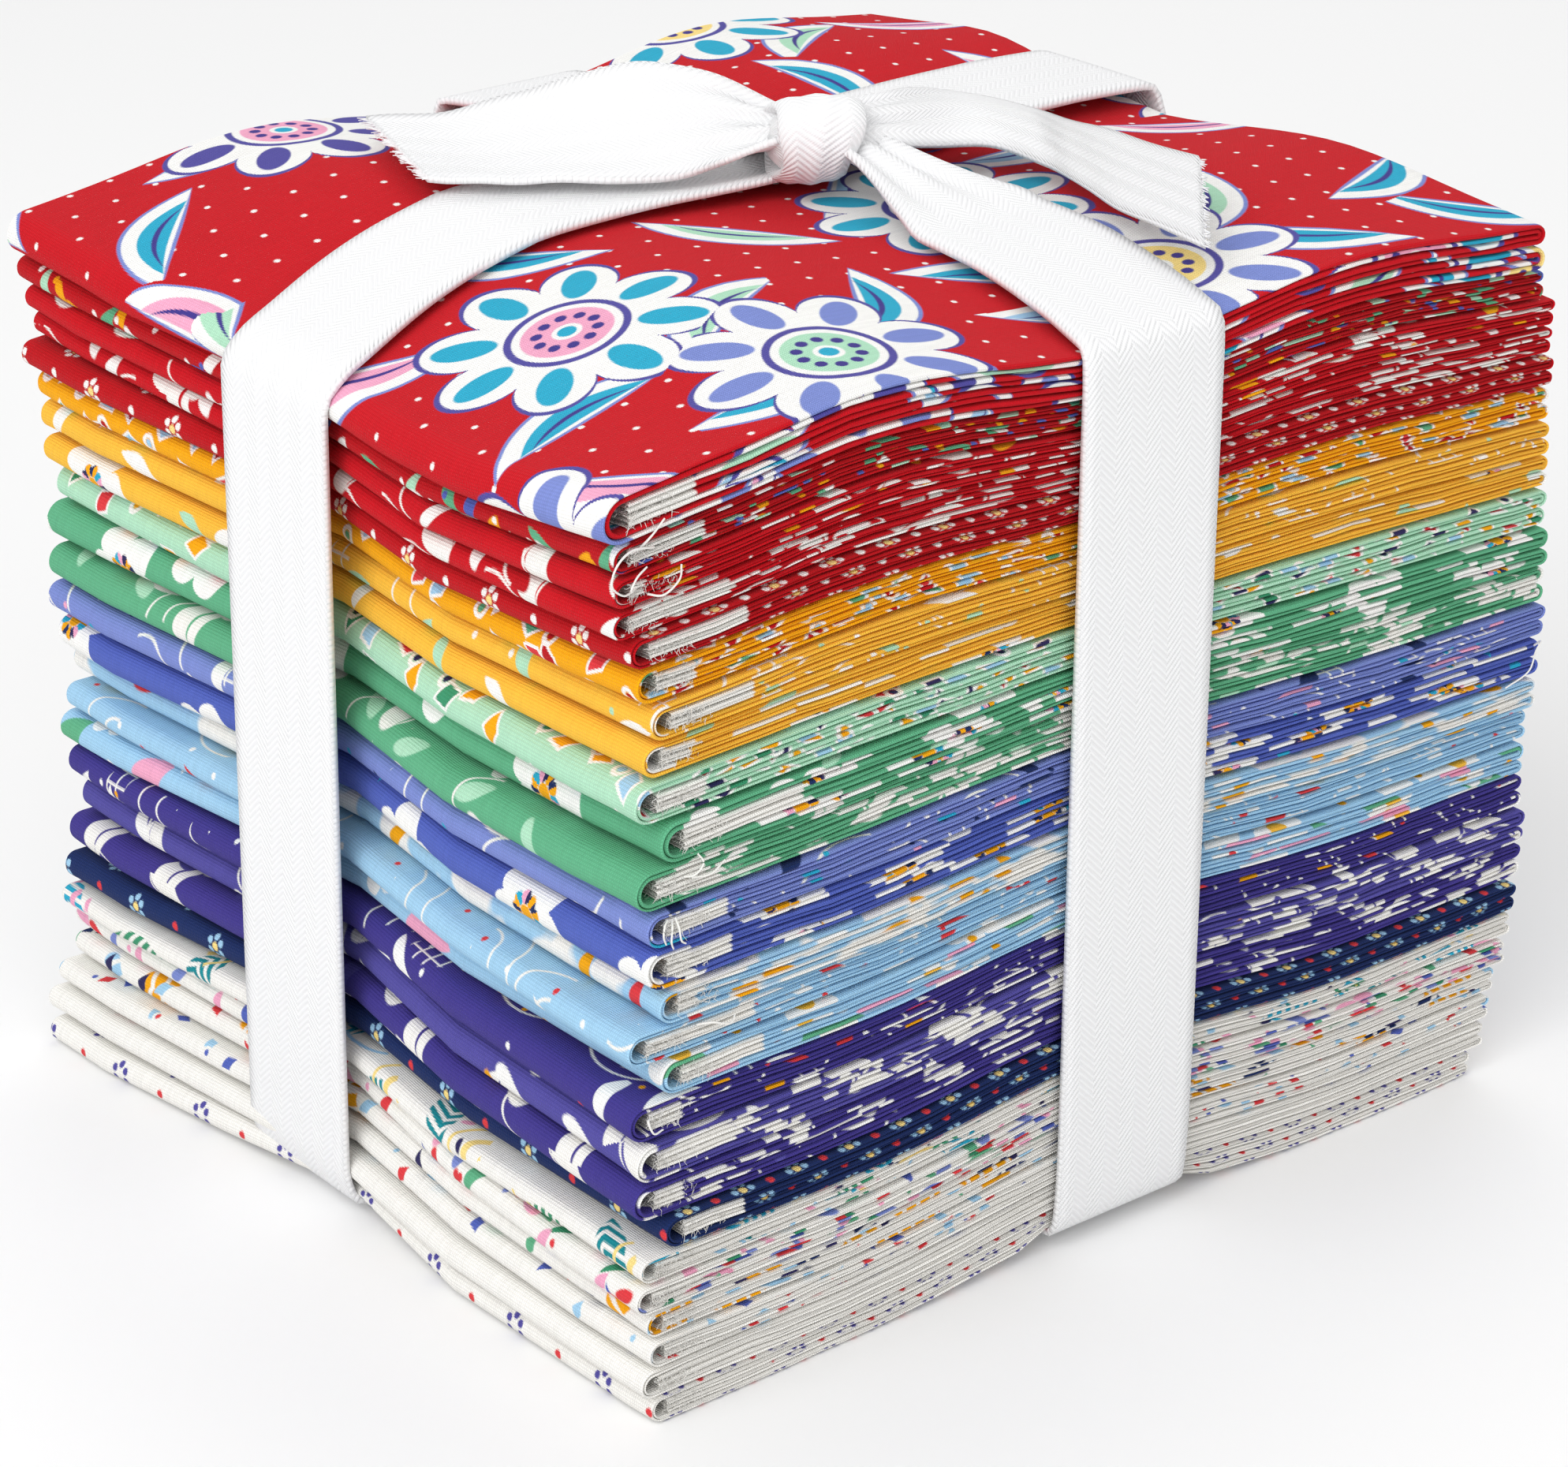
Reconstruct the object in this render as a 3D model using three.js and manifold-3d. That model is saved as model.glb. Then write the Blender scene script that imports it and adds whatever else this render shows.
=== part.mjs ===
// A bundle of 26 folded fat quarters, tied like a parcel with one white tape.
// Millimetres, +Z up. The front is the -Y side, where the folded edges show as many thin
// ridges. The left is the -X side, where each packet turns over in one round fold.
import * as THREE from 'three';
import { mergeVertices } from 'three/addons/utils/BufferGeometryUtils.js';
import Module from 'manifold-3d';

const wasm = await Module();
wasm.setup();

// Driving sizes
const LENGTH = 133.35; // a packet along X
const DEPTH = 120; // a packet along Y
const FOLD_GAP = 0.2; // between the layers of one packet
const ROW_GAP = 0.5; // between two packets
const FLAP_STEP = 0.6; // the cloth's two ends stop this far inside the round fold
const NOSE_STEPS = 4; // straight runs round the left fold
const BULGE_STEPS = 3; // and round each fold on the right

const TAPE_WIDTH = 20;
const TAPE_THICK = 1;
const TAPE_GAP = 0.35; // between the tape and the cloth
const TAPE_STEP = 18; // longest straight run of the tape
const LONG_TAPE_Y = 8.5; // middle of the tape that runs along X, below the bundle
const CROSS_TAPE_X = 2.5; // middle of the tape that runs along Y
const CROSS_TAPE_BOW = 6; // how far it bows to +X on the top
const CROSS_TAPE_BOW_AT = -22; // where along Y it bows most
// Where the middle of the tape along X lies on the top: places along X and along Y
const LONG_TAPE_ON_TOP = [[-66, 2], [-48, 8.5], [-30, 11], [0, 11.5], [66, 15]];

// Where a packet has a station, measured from the middle of the bundle
const FIELD = 37; // middle of a field between the tape and an edge
const STATIONS_X = [-FIELD, CROSS_TAPE_X, FIELD];
const STATIONS_Y = [-FIELD + 7, LONG_TAPE_Y, FIELD];

// How far the top of the bundle stands over or under its mean height at each station, and how
// far the tape lifts the underside. A line goes from the front to the back, and the lines go
// from the left edge to the right edge.
const TOP_RISES = [
  [-4, -6.2, -7, -4.5, -3],
  [0.8, 1.5, -0.8, 1.5, 0.5],
  [-3, -0.8, -1, -0.8, -3],
  [0.8, 1.5, -0.8, 2.5, 1.5],
  [-2.5, 0.5, -3, 0.5, -2],
];
const LOW_RISES = [
  [0, 0, 1, 0, 0],
  [0, 0, 0, 0, 0],
  [2.1, 0, 0, 0, 2],
  [0, 0, 0, 0, 0],
  [0, 0, 1, 0, 0],
];
const RISE_POWER = 3; // how fast the top's shape dies away below
const TAPE_PINCH = 0.9; // how far the tape draws in the packets' edges
const LEFT_PINCH = 3.2; // and the round folds on the left

// The packets from the top down. thick is the pitch to the next packet. The other sizes say how
// far each side is drawn in from the nominal size: the left side at its front and back ends.
const COLUMNS = ['name', 'colour', 'thick', 'leftFront', 'leftBack', 'right', 'front', 'back'];
const ROWS = [
  ['red_floral', 0xc80a1c, 6.2, -4.4, -2.4, 2.6, -0.4, 0.5],
  ['red_sprigs', 0xc40c1e, 3.85, -2.4, -1.0, 1.8, 0.3, 0.0],
  ['red_petals', 0xc60b1d, 3.85, -2.6, -0.5, -0.3, 0.1, 0.8],
  ['red_arcs', 0xc60b1d, 3.7, -2.6, 0.4, -0.6, 0.5, 0.4],
  ['red_dots', 0xc40a1a, 4.05, -0.6, -0.7, -1.0, 0.2, -0.3],
  ['amber_gems', 0xf3ae14, 4.4, 0.5, 0.5, -1.0, 0.6, 0.9],
  ['yellow_arcs', 0xf6c24a, 4.5, 1.8, 0.7, -1.2, 0.2, 0.1],
  ['yellow_flowers', 0xf8c658, 4.25, 1.2, 0.5, -1.8, 0.7, 0.6],
  ['mint_gems', 0xb4dfc4, 4.95, -0.3, 1.8, -1.6, 0.3, 1.0],
  ['green_flowers', 0x68b38c, 5.25, 2.8, 0.8, -2.2, 0.0, -0.2],
  ['green_petals', 0x66b08a, 4.95, -0.5, 0.3, -2.4, 0.6, 0.7],
  ['periwinkle_arcs', 0x7c8ccc, 4.5, 1.1, 0.0, -2.7, 0.2, 0.3],
  ['blue_flowers', 0x5a6cb8, 5.05, 0.9, 0.7, -2.4, 0.5, 1.1],
  ['sky_shapes', 0xa4cdea, 4.2, 2.4, 3.0, -1.8, 0.1, 0.2],
  ['sky_arcs', 0xa2cbe8, 4.1, -1.3, 1.1, -1.2, 0.7, 0.9],
  ['sky_flowers', 0xa4cdea, 4.5, 2.7, 0.7, -0.8, 0.3, -0.1],
  ['purple_arcs', 0x473d8c, 4.6, -1.0, 0.9, -1.2, 0.6, 0.6],
  ['purple_petals', 0x4a4090, 4.85, -0.8, 2.4, -1.7, 0.2, 1.2],
  ['purple_flowers', 0x453b88, 4.85, -0.7, 0.7, -1.9, 0.5, 0.0],
  ['navy_dots', 0x1e3264, 4.2, 2.6, -0.3, -0.9, 0.0, 0.5],
  ['white_leaves', 0xf1f1ee, 3.3, -0.2, -1.2, -0.5, 0.4, 0.8],
  ['white_sprigs', 0xf3f2ef, 3.55, -0.9, 1.0, 0.4, 0.1, 0.1],
  ['white_blocks', 0xf4f3f0, 3.55, 0.6, -0.1, 1.6, 0.5, 0.9],
  ['white_gems', 0xf4f3f0, 3.55, 0.6, -2.1, 2.5, 0.2, 0.4],
  ['white_plain', 0xf3f1ec, 3.75, -0.5, -3.4, 2.9, 0.4, -0.3],
  ['white_flowers', 0xf4f2f0, 3.75, 1.2, -4.0, 4.6, 0.8, 0.6],
].map((row) => Object.fromEntries(COLUMNS.map((column, i) => [column, row[i]])));

const TOP = ROWS.reduce((sum, row) => sum + row.thick, 0);

// The free tails of the tape, from the knot outwards. near and far are the two edges of the
// tape at each place, and the heights are measured from the tape's top at the crossing.
const LEFT_TAIL = [
  { near: [-1, -2.5, 4.6], far: [3, 3.5, 6.4] },
  { near: [-7, 1, 2.8], far: [-1, 11, 9.6] },
  { near: [-12, 2.2, 2], far: [-6, 17.5, 10.6] },
  { near: [-19, 5.7, 1.8], far: [-12, 23.4, 8.8] },
  { near: [-25.6, 10.6, 1.8], far: [-17, 28.5, 6.6] },
  { near: [-31.3, 15, 1.8], far: [-23.6, 33.6, 4.2] },
  { near: [-35.4, 20.5, 1.8], far: [-29.5, 41.5, 2.6] },
];
const RIGHT_TAIL = [
  { near: [3, -4.5, 4.6], far: [7, 2, 6.2] },
  { near: [11, -8.2, 4], far: [16, 1.2, 6.6] },
  { near: [20.7, -12, 2.6], far: [27.6, 3.6, 4.4] },
  { near: [22.1, -20.3, 2], far: [33.6, -3.8, 3] },
  { near: [20, -29.6, 2], far: [32.2, -13.4, 3.6] },
  { near: [17.5, -39.7, 2], far: [30.6, -24.4, 4.6] },
  { near: [14.9, -54.6, 2.2], far: [28.2, -39.6, 6.2] },
];
const GATHERED_THICK = 2.6; // a tail where it leaves the knot
const KNOT = { x: 3.2, y: -1.6, radiusX: 5.6, radiusY: 5, radiusZ: 4.2 };
const WRAP = { radius: 4.2, tube: 1.7, sides: 6, steps: 14, squash: 0.9, turn: 62 };

// Heights

function kind(index, count) {
  const fromMiddle = Math.abs(index - (count - 1) / 2);
  return ['tape', 'field', 'edge'][fromMiddle];
}

const KNOTS_X = [-LENGTH / 2, ...STATIONS_X, LENGTH / 2];
const KNOTS_Y = [-DEPTH / 2, ...STATIONS_Y, DEPTH / 2];

// The span between two stations that a value lies in, and how far along it the value is
function spanOf(knots, value) {
  let span = 0;
  while (span < knots.length - 2 && value > knots[span + 1]) span += 1;
  return { span, along: (value - knots[span]) / (knots[span + 1] - knots[span]) };
}

// Each patch between stations is two flat triangles, split from its low corner to its high one
function onPatches(rises, x, y) {
  const a = spanOf(KNOTS_X, x);
  const b = spanOf(KNOTS_Y, y);
  const near = rises[a.span][b.span];
  const far = rises[a.span + 1][b.span + 1];
  const right = rises[a.span + 1][b.span];
  const back = rises[a.span][b.span + 1];
  if (a.along > b.along) return near + a.along * (right - near) + b.along * (far - right);
  return near + b.along * (back - near) + a.along * (far - back);
}

function riseAt(x, y, level) {
  const share = (level / TOP) ** RISE_POWER;
  return THREE.MathUtils.lerp(onPatches(LOW_RISES, x, y), onPatches(TOP_RISES, x, y), share);
}

// The channel that the tape presses into the underside of the lowest packet

const CHANNEL = { height: TAPE_THICK + TAPE_GAP, half: TAPE_WIDTH / 2 + 0.6, slope: 2.4 };

function channelAt(offset) {
  const past = Math.abs(offset) - CHANNEL.half;
  return CHANNEL.height * THREE.MathUtils.clamp(1 - past / CHANNEL.slope, 0, 1);
}

function liftAt(x, y) {
  return Math.max(channelAt(x - CROSS_TAPE_X), channelAt(y - LONG_TAPE_Y));
}

function withChannel(stations, middle) {
  const edges = [CHANNEL.half, CHANNEL.half + CHANNEL.slope];
  const places = [...edges.map((edge) => middle - edge), ...edges.map((edge) => middle + edge)];
  return [...stations, ...places].sort((a, b) => a - b);
}

// One packet

// A point of the packet, at a height over its own underside
function placed(row, x, y, height) {
  const lift = row.lowest ? liftAt(x, y) : 0;
  const level = row.base + height * (1 - lift / row.height);
  return new THREE.Vector3(x, y, lift + level + riseAt(x, y, level));
}

// How far the tape draws an edge in, as a share of the pinch
function pinchAt(knots, value, pinch = TAPE_PINCH) {
  const { span, along } = spanOf(knots, value);
  const share = (index) => (kind(index, knots.length) === 'tape' ? 1 : 0);
  return pinch * THREE.MathUtils.lerp(share(span), share(span + 1), along);
}

function sidesAt(row, y) {
  const back = THREE.MathUtils.clamp(y / DEPTH + 0.5, 0, 1);
  const drawnIn = THREE.MathUtils.lerp(row.leftFront, row.leftBack, back);
  return {
    left: -LENGTH / 2 + drawnIn + pinchAt(KNOTS_Y, y, LEFT_PINCH),
    right: LENGTH / 2 - row.right - pinchAt(KNOTS_Y, y),
  };
}

function endsAt(row, x) {
  const pinch = pinchAt(KNOTS_X, x);
  return { front: -DEPTH / 2 + row.front + pinch, back: DEPTH / 2 - row.back - pinch };
}

// Pairs of points round half a turn of the strip
function turn(x, height, outer, inner, from, steps) {
  return Array.from({ length: steps + 1 }, (_, i) => {
    const angle = from + (Math.PI * i) / steps;
    const at = (radius) => [x + radius * Math.cos(angle), height + radius * Math.sin(angle)];
    return [at(outer), at(inner)];
  });
}

// The section of a packet, as pairs of points on the two faces of its strip. The strip starts
// inside the round fold on the left, runs to the right, comes back over the top, turns down
// round the left and returns the same way below. It always turns the same way, so that the
// first point of a pair is on the outside of each turn.
function section(row, left, right) {
  const strip = (row.height - 3 * FOLD_GAP) / 4;
  const pitch = strip + FOLD_GAP;
  const nose = row.height / 2;
  const bulge = strip + FOLD_GAP / 2;
  const from = left + nose;
  const to = right - bulge;
  const flap = from + FLAP_STEP;
  const quarter = Math.PI / 2;
  const across = (x, outer, inner) => [[x, outer], [x, inner]];
  const rightwards = (outer, inner) => row.stationsX.map((x) => across(x, outer, inner));
  const leftwards = (outer, inner) => rightwards(outer, inner).reverse();
  return [
    across(flap, 2 * pitch, 2 * pitch + strip),
    ...rightwards(2 * pitch, 2 * pitch + strip),
    ...turn(to, row.height - bulge, bulge, FOLD_GAP / 2, -quarter, BULGE_STEPS),
    ...leftwards(row.height, row.height - strip),
    ...turn(from, nose, nose, nose - strip, quarter, NOSE_STEPS),
    ...rightwards(0, strip),
    ...turn(to, bulge, bulge, FOLD_GAP / 2, -quarter, BULGE_STEPS),
    ...leftwards(pitch + strip, pitch),
    across(flap, pitch + strip, pitch),
  ];
}

// The outline of the packet at one station along Y: round the strip's outside, back inside
function ringAt(row, share) {
  const nominal = THREE.MathUtils.lerp(-DEPTH / 2, DEPTH / 2, share);
  const { left, right } = sidesAt(row, nominal);
  const pairs = section(row, left, right);
  const outline = [...pairs.map(([outer]) => outer), ...pairs.map(([, inner]) => inner).reverse()];
  return outline.map(([x, height]) => {
    const { front, back } = endsAt(row, x);
    const y = share === 0 ? front : share === 1 ? back : nominal;
    return placed(row, x, y, height);
  });
}

// Every patch is split from its low corner to its high one, as the heights are
function closedLoft(rings) {
  const count = rings[0].length;
  const index = [];
  for (let r = 0; r < rings.length - 1; r += 1) {
    for (let i = 0; i < count; i += 1) {
      const next = (i + 1) % count;
      const [a, b] = [r * count + i, r * count + next];
      const [c, d] = [b + count, a + count];
      const rightwards = rings[r][i].x < rings[r][next].x;
      if (rightwards) index.push(a, b, c, a, c, d);
      else index.push(a, b, d, b, c, d);
    }
  }
  const last = (rings.length - 1) * count;
  for (let i = 0; i < count / 2 - 1; i += 1) {
    const [a, b, c, d] = [i, i + 1, count - 2 - i, count - 1 - i];
    index.push(a, c, b, a, d, c);
    index.push(last + a, last + b, last + c, last + a, last + c, last + d);
  }
  return indexed(rings.flat().flatMap((point) => point.toArray()), index);
}

function indexed(positions, index) {
  const geometry = new THREE.BufferGeometry();
  geometry.setAttribute('position', new THREE.Float32BufferAttribute(positions, 3));
  geometry.setIndex(index);
  return geometry;
}

// Which way round a loft's outline runs decides which side faces out
function facingOut(geometry) {
  if (volumeOf(geometry) > 0) return geometry;
  const index = geometry.index.array;
  for (let i = 0; i < index.length; i += 3) [index[i + 1], index[i + 2]] = [index[i + 2], index[i + 1]];
  return geometry;
}

function volumeOf(geometry) {
  const at = (i) => new THREE.Vector3().fromBufferAttribute(geometry.attributes.position, i);
  const index = geometry.index.array;
  let sum = 0;
  for (let i = 0; i < index.length; i += 3) {
    sum += at(index[i]).dot(at(index[i + 1]).cross(at(index[i + 2])));
  }
  return sum / 6;
}

function packet(row) {
  const shares = [-DEPTH / 2, ...row.stationsY, DEPTH / 2].map((y) => y / DEPTH + 0.5);
  return facingOut(closedLoft(shares.map((share) => ringAt(row, share))));
}

// The tape

// The smallest outline, of straight runs, that goes round all the points at a distance
function tautLoop(points, distance) {
  const spread = [-25, -12, -6, 0, 6, 12, 25, 45];
  const angles = [0, 90, 180, 270].flatMap((side) => spread.map((turn) => side + turn));
  const lines = angles.map((degrees) => {
    const angle = THREE.MathUtils.degToRad(degrees);
    const normal = new THREE.Vector2(Math.cos(angle), Math.sin(angle));
    const reach = Math.max(...points.map((point) => point.dot(normal))) + distance;
    return { normal, reach };
  });
  return lines.map((line, i) => crossing(line, lines[(i + 1) % lines.length]));
}

function crossing(a, b) {
  const scale = a.normal.cross(b.normal);
  return new THREE.Vector2(
    (a.reach * b.normal.y - b.reach * a.normal.y) / scale,
    (b.reach * a.normal.x - a.reach * b.normal.x) / scale,
  );
}

// The same outline with no run longer than a step
function inSteps(loop, step) {
  return loop.flatMap((point, i) => {
    const next = loop[(i + 1) % loop.length];
    const parts = Math.max(1, Math.ceil(point.distanceTo(next) / step));
    return Array.from({ length: parts }, (_, k) => point.clone().lerp(next, k / parts));
  });
}

// A flat strip along stations that each give its two edges, closed on itself or cut at its ends
function strip(stations, thicknessAt, closed) {
  const count = stations.length;
  const rings = stations.map(({ near, far }, i) => {
    const before = stations[closed ? (i + count - 1) % count : Math.max(i - 1, 0)];
    const after = stations[closed ? (i + 1) % count : Math.min(i + 1, count - 1)];
    const middle = (station) => station.near.clone().add(station.far).multiplyScalar(0.5);
    const along = middle(after).sub(middle(before));
    const normal = along.cross(far.clone().sub(near)).normalize();
    const offset = normal.multiplyScalar(thicknessAt(i) / 2);
    const face = (side) => [near, far].map((edge) => edge.clone().addScaledVector(offset, side));
    return [...face(1), ...face(-1).reverse()];
  });
  const corners = 4;
  const index = [];
  for (let r = 0; r < (closed ? count : count - 1); r += 1) {
    for (let i = 0; i < corners; i += 1) {
      const a = r * corners + i;
      const b = r * corners + ((i + 1) % corners);
      const c = ((r + 1) % count) * corners + ((i + 1) % corners);
      const d = ((r + 1) % count) * corners + i;
      index.push(a, b, c, a, c, d);
    }
  }
  if (!closed) {
    const last = (count - 1) * corners;
    index.push(0, 2, 1, 0, 3, 2, last, last + 1, last + 2, last, last + 2, last + 3);
  }
  return facingOut(indexed(rings.flat().flatMap((point) => point.toArray()), index));
}

// The tape that runs along X lies straight below the bundle and askew on its top
function longTapeY(x, z) {
  const places = LONG_TAPE_ON_TOP.map(([place]) => place);
  const middles = LONG_TAPE_ON_TOP.map(([, middle]) => middle);
  const { span, along } = spanOf(places, THREE.MathUtils.clamp(x, places[0], places.at(-1)));
  const onTop = THREE.MathUtils.lerp(middles[span], middles[span + 1], along);
  return THREE.MathUtils.lerp(LONG_TAPE_Y, onTop, THREE.MathUtils.clamp(z / TOP, 0, 1));
}

// Points of the packets under the tape that runs along X, seen from the front
function pointsUnderLongTape(rows) {
  const half = CHANNEL.half;
  return rows.flatMap((row) =>
    [-half, 0, half].flatMap((across) => {
      const middle = row.base + row.height / 2;
      const { left } = sidesAt(row, longTapeY(-LENGTH / 2, middle) + across);
      const { right } = sidesAt(row, longTapeY(LENGTH / 2, middle) + across);
      return section(row, left, right).map(([[x, height]]) => {
        const point = placed(row, x, longTapeY(x, row.base + height) + across, height);
        return new THREE.Vector2(point.x, point.z);
      });
    }));
}

// Points of the packets under the tape that runs along Y, seen from the side
function pointsUnderCrossTape(rows) {
  const reaches = [-CHANNEL.half, 0, CHANNEL.half, CHANNEL.half + CROSS_TAPE_BOW];
  return rows.flatMap((row) =>
    reaches.flatMap((across) => {
      const x = CROSS_TAPE_X + across;
      const { front, back } = endsAt(row, x);
      const under = row.lowest ? Math.min(across, CHANNEL.half) + CROSS_TAPE_X : x;
      return [front, ...STATIONS_Y, back].flatMap((y) =>
        [placed(row, under, y, 0), placed(row, x, y, row.height)].map((p) => new THREE.Vector2(p.y, p.z)));
    }));
}

// The tape that runs along Y lies straight below and on the sides, and bows on the top
function crossTapeX(y, z) {
  if (z < TOP / 2) return CROSS_TAPE_X;
  const reach = y < CROSS_TAPE_BOW_AT ? CROSS_TAPE_BOW_AT + DEPTH / 2 : DEPTH / 2 - CROSS_TAPE_BOW_AT;
  const share = THREE.MathUtils.clamp(1 - ((y - CROSS_TAPE_BOW_AT) / reach) ** 2, 0, 1);
  return CROSS_TAPE_X + CROSS_TAPE_BOW * share;
}

function solidOf(geometry) {
  geometry.deleteAttribute('normal');
  geometry.deleteAttribute('uv');
  const merged = mergeVertices(geometry, 1e-4);
  return new wasm.Manifold(new wasm.Mesh({
    numProp: 3,
    vertProperties: new Float32Array(merged.attributes.position.array),
    triVerts: new Uint32Array(merged.index.array),
  }));
}

function geometryOf(solid) {
  const mesh = solid.getMesh();
  return indexed(Array.from(mesh.vertProperties), Array.from(mesh.triVerts));
}

function tail(points, base) {
  const stations = points.map(({ near, far }) => ({
    near: new THREE.Vector3(near[0], near[1], base + near[2]),
    far: new THREE.Vector3(far[0], far[1], base + far[2]),
  }));
  const thicknesses = [GATHERED_THICK, (GATHERED_THICK + TAPE_THICK) / 2];
  return strip(stations, (i) => thicknesses[i] ?? TAPE_THICK, false);
}

function tie(rows) {
  const distance = TAPE_GAP + TAPE_THICK / 2;
  const half = TAPE_WIDTH / 2;
  const longLoop = inSteps(tautLoop(pointsUnderLongTape(rows), distance), TAPE_STEP);
  const longTape = strip(longLoop.map(({ x, y: z }) => ({
    near: new THREE.Vector3(x, longTapeY(x, z) - half, z),
    far: new THREE.Vector3(x, longTapeY(x, z) + half, z),
  })), () => TAPE_THICK, true);
  const crossLoop = inSteps(tautLoop(pointsUnderCrossTape(rows), distance), TAPE_STEP);
  const crossTape = strip(crossLoop.map(({ x: y, y: z }) => ({
    near: new THREE.Vector3(crossTapeX(y, z) - half, y, z),
    far: new THREE.Vector3(crossTapeX(y, z) + half, y, z),
  })), () => TAPE_THICK, true);

  const underKnot = longLoop.filter(({ x }) => Math.abs(x - KNOT.x) < TAPE_WIDTH);
  const base = Math.max(...underKnot.map((point) => point.y)) + TAPE_THICK / 2;
  const core = new THREE.SphereGeometry(1, 14, 9);
  core.scale(KNOT.radiusX, KNOT.radiusY, KNOT.radiusZ);
  core.translate(KNOT.x, KNOT.y, base + KNOT.radiusZ - TAPE_THICK / 2);
  const wrap = new THREE.TorusGeometry(WRAP.radius, WRAP.tube, WRAP.sides, WRAP.steps);
  wrap.scale(1, WRAP.squash, 1);
  wrap.rotateX(Math.PI / 2);
  wrap.rotateZ(THREE.MathUtils.degToRad(WRAP.turn));
  wrap.translate(KNOT.x, KNOT.y, base + KNOT.radiusZ);
  return [longTape, crossTape, core, wrap, tail(LEFT_TAIL, base), tail(RIGHT_TAIL, base)]
    .map(solidOf)
    .reduce((whole, piece) => whole.add(piece));
}

// The bundle

function stacked() {
  let top = TOP;
  return ROWS.map((row, i) => {
    top -= row.thick;
    const lowest = i === ROWS.length - 1;
    return {
      ...row,
      lowest,
      base: top,
      height: row.thick - ROW_GAP,
      stationsX: lowest ? withChannel(STATIONS_X, CROSS_TAPE_X) : STATIONS_X,
      stationsY: lowest ? withChannel(STATIONS_Y, LONG_TAPE_Y) : STATIONS_Y,
    };
  });
}

function cloth(name, geometry, colour) {
  const material = new THREE.MeshStandardMaterial({ color: colour, roughness: 0.9, metalness: 0 });
  const mesh = new THREE.Mesh(geometry, material);
  mesh.name = name;
  return mesh;
}

const bundle = new THREE.Group();
const rows = stacked();
rows.forEach((row, i) => {
  const number = String(i + 1).padStart(2, '0');
  bundle.add(cloth(`row_${number}_${row.name}`, packet(row), row.colour));
});
bundle.add(cloth('tie_ribbon', geometryOf(tie(rows)), 0xf4f4f2));

// The origin is the middle of the underside
const box = new THREE.Box3().setFromObject(bundle);
const middle = box.getCenter(new THREE.Vector3());
bundle.position.set(-middle.x, -middle.y, -box.min.z);

export default bundle;
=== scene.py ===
"""A bundle of 26 folded fat quarters, tied with one white tape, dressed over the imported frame.

Sizes are in millimetres until a mesh is made, which is in metres. The front of the bundle is
its -Y side, where the folded edges show. The left is the -X side, with one round fold a packet.
"""

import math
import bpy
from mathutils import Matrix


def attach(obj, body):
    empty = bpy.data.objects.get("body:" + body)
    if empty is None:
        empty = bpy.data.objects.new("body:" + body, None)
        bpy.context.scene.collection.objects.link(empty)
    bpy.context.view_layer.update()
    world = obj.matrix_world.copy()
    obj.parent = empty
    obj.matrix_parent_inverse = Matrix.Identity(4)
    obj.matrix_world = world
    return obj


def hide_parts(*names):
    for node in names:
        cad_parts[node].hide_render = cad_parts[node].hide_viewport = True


bl_info = {
    "name": "Fat quarter bundle",
    "version": (1, 0, 0),
    "blender": (4, 5, 0),
    "location": "View3D > Sidebar > Bundle",
    "description": "Folded printed cottons in a stack, tied with herringbone tape",
    "category": "Add Mesh",
}

import bpy
import numpy as np
from mathutils import Vector
from mathutils.bvhtree import BVHTree

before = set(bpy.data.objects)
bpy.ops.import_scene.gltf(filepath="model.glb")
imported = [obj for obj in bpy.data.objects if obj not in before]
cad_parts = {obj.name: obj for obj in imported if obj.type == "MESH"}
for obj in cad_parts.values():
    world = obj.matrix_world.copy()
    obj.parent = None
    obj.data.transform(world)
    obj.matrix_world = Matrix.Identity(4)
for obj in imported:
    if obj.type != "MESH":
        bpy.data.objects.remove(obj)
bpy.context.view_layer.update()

MM = 0.001
ROW_NAMES = sorted(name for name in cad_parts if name.startswith("row_"))
TIE_NAME = "tie_ribbon"

# Where the packets' heights are read from the frame. The middle ones lie under the tape.
STATIONS_X = (-57.0, -37.0, 2.5, 37.0, 57.0)
STATIONS_Y = (-51.0, -30.0, 8.5, 37.0, 51.0)
OUTSIDE = 400.0  # a place well outside the bundle, to look at it from

# A cut cloth
CLOTH_LENGTH = 533.4
CLOTH_WIDTH = 457.2
STRIPS = 4  # the cloth's length folds into so many runs
LAYERS = 4  # and its width into so many
STRIP_GAP = 0.2
FLAP_STEP = 0.6
HALF_DEPTH = 60.0  # half of a packet's depth along Y, more or less
TOP_STEP = 3.2  # between two points along the top cloth
CLOTH_STEP = 4.4  # and along the others
FIBRE_RADIUS = 0.05
FIBRE_TIP = 0.02
THREAD_RADIUS = 0.13
THREAD_TIP = 0.1

# The tape
TAPE_WIDTH = 20.0
TAPE_GAP = 0.35
TAPE_STEP = 1.6  # between two points along the tape
TAPE_MARGIN = 0.5  # beside the tape, where the cloth below still bears it
LONG_TAPE_Y = 8.5  # below the bundle; on the top it lies askew
LONG_TAPE_PLACES = (-65.5, -47.5, -29.5, 0.5, 66.5)
LONG_TAPE_MIDDLES = (2.0, 8.5, 11.0, 11.5, 15.0)
CROSS_TAPE_X = 3.0
CROSS_TAPE_BOW = 6.0
CROSS_TAPE_BOW_AT = -22.0
CHANNEL_HEIGHT = 1.35
CHANNEL_HALF = 10.6
CHANNEL_SLOPE = 2.4
KNOT = Vector((3.7, -1.6, 0.0))
KNOT_RISE = 4.2  # the knot's middle over the tape's top

# The photographed view
CAMERA_AZIMUTH = -38.81
CAMERA_ELEVATION = 24.09
CAMERA_DISTANCE = 546.9
CAMERA_TARGET = (0.75, 0.0, 43.0)
CAMERA_LENS = 103.1

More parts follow.
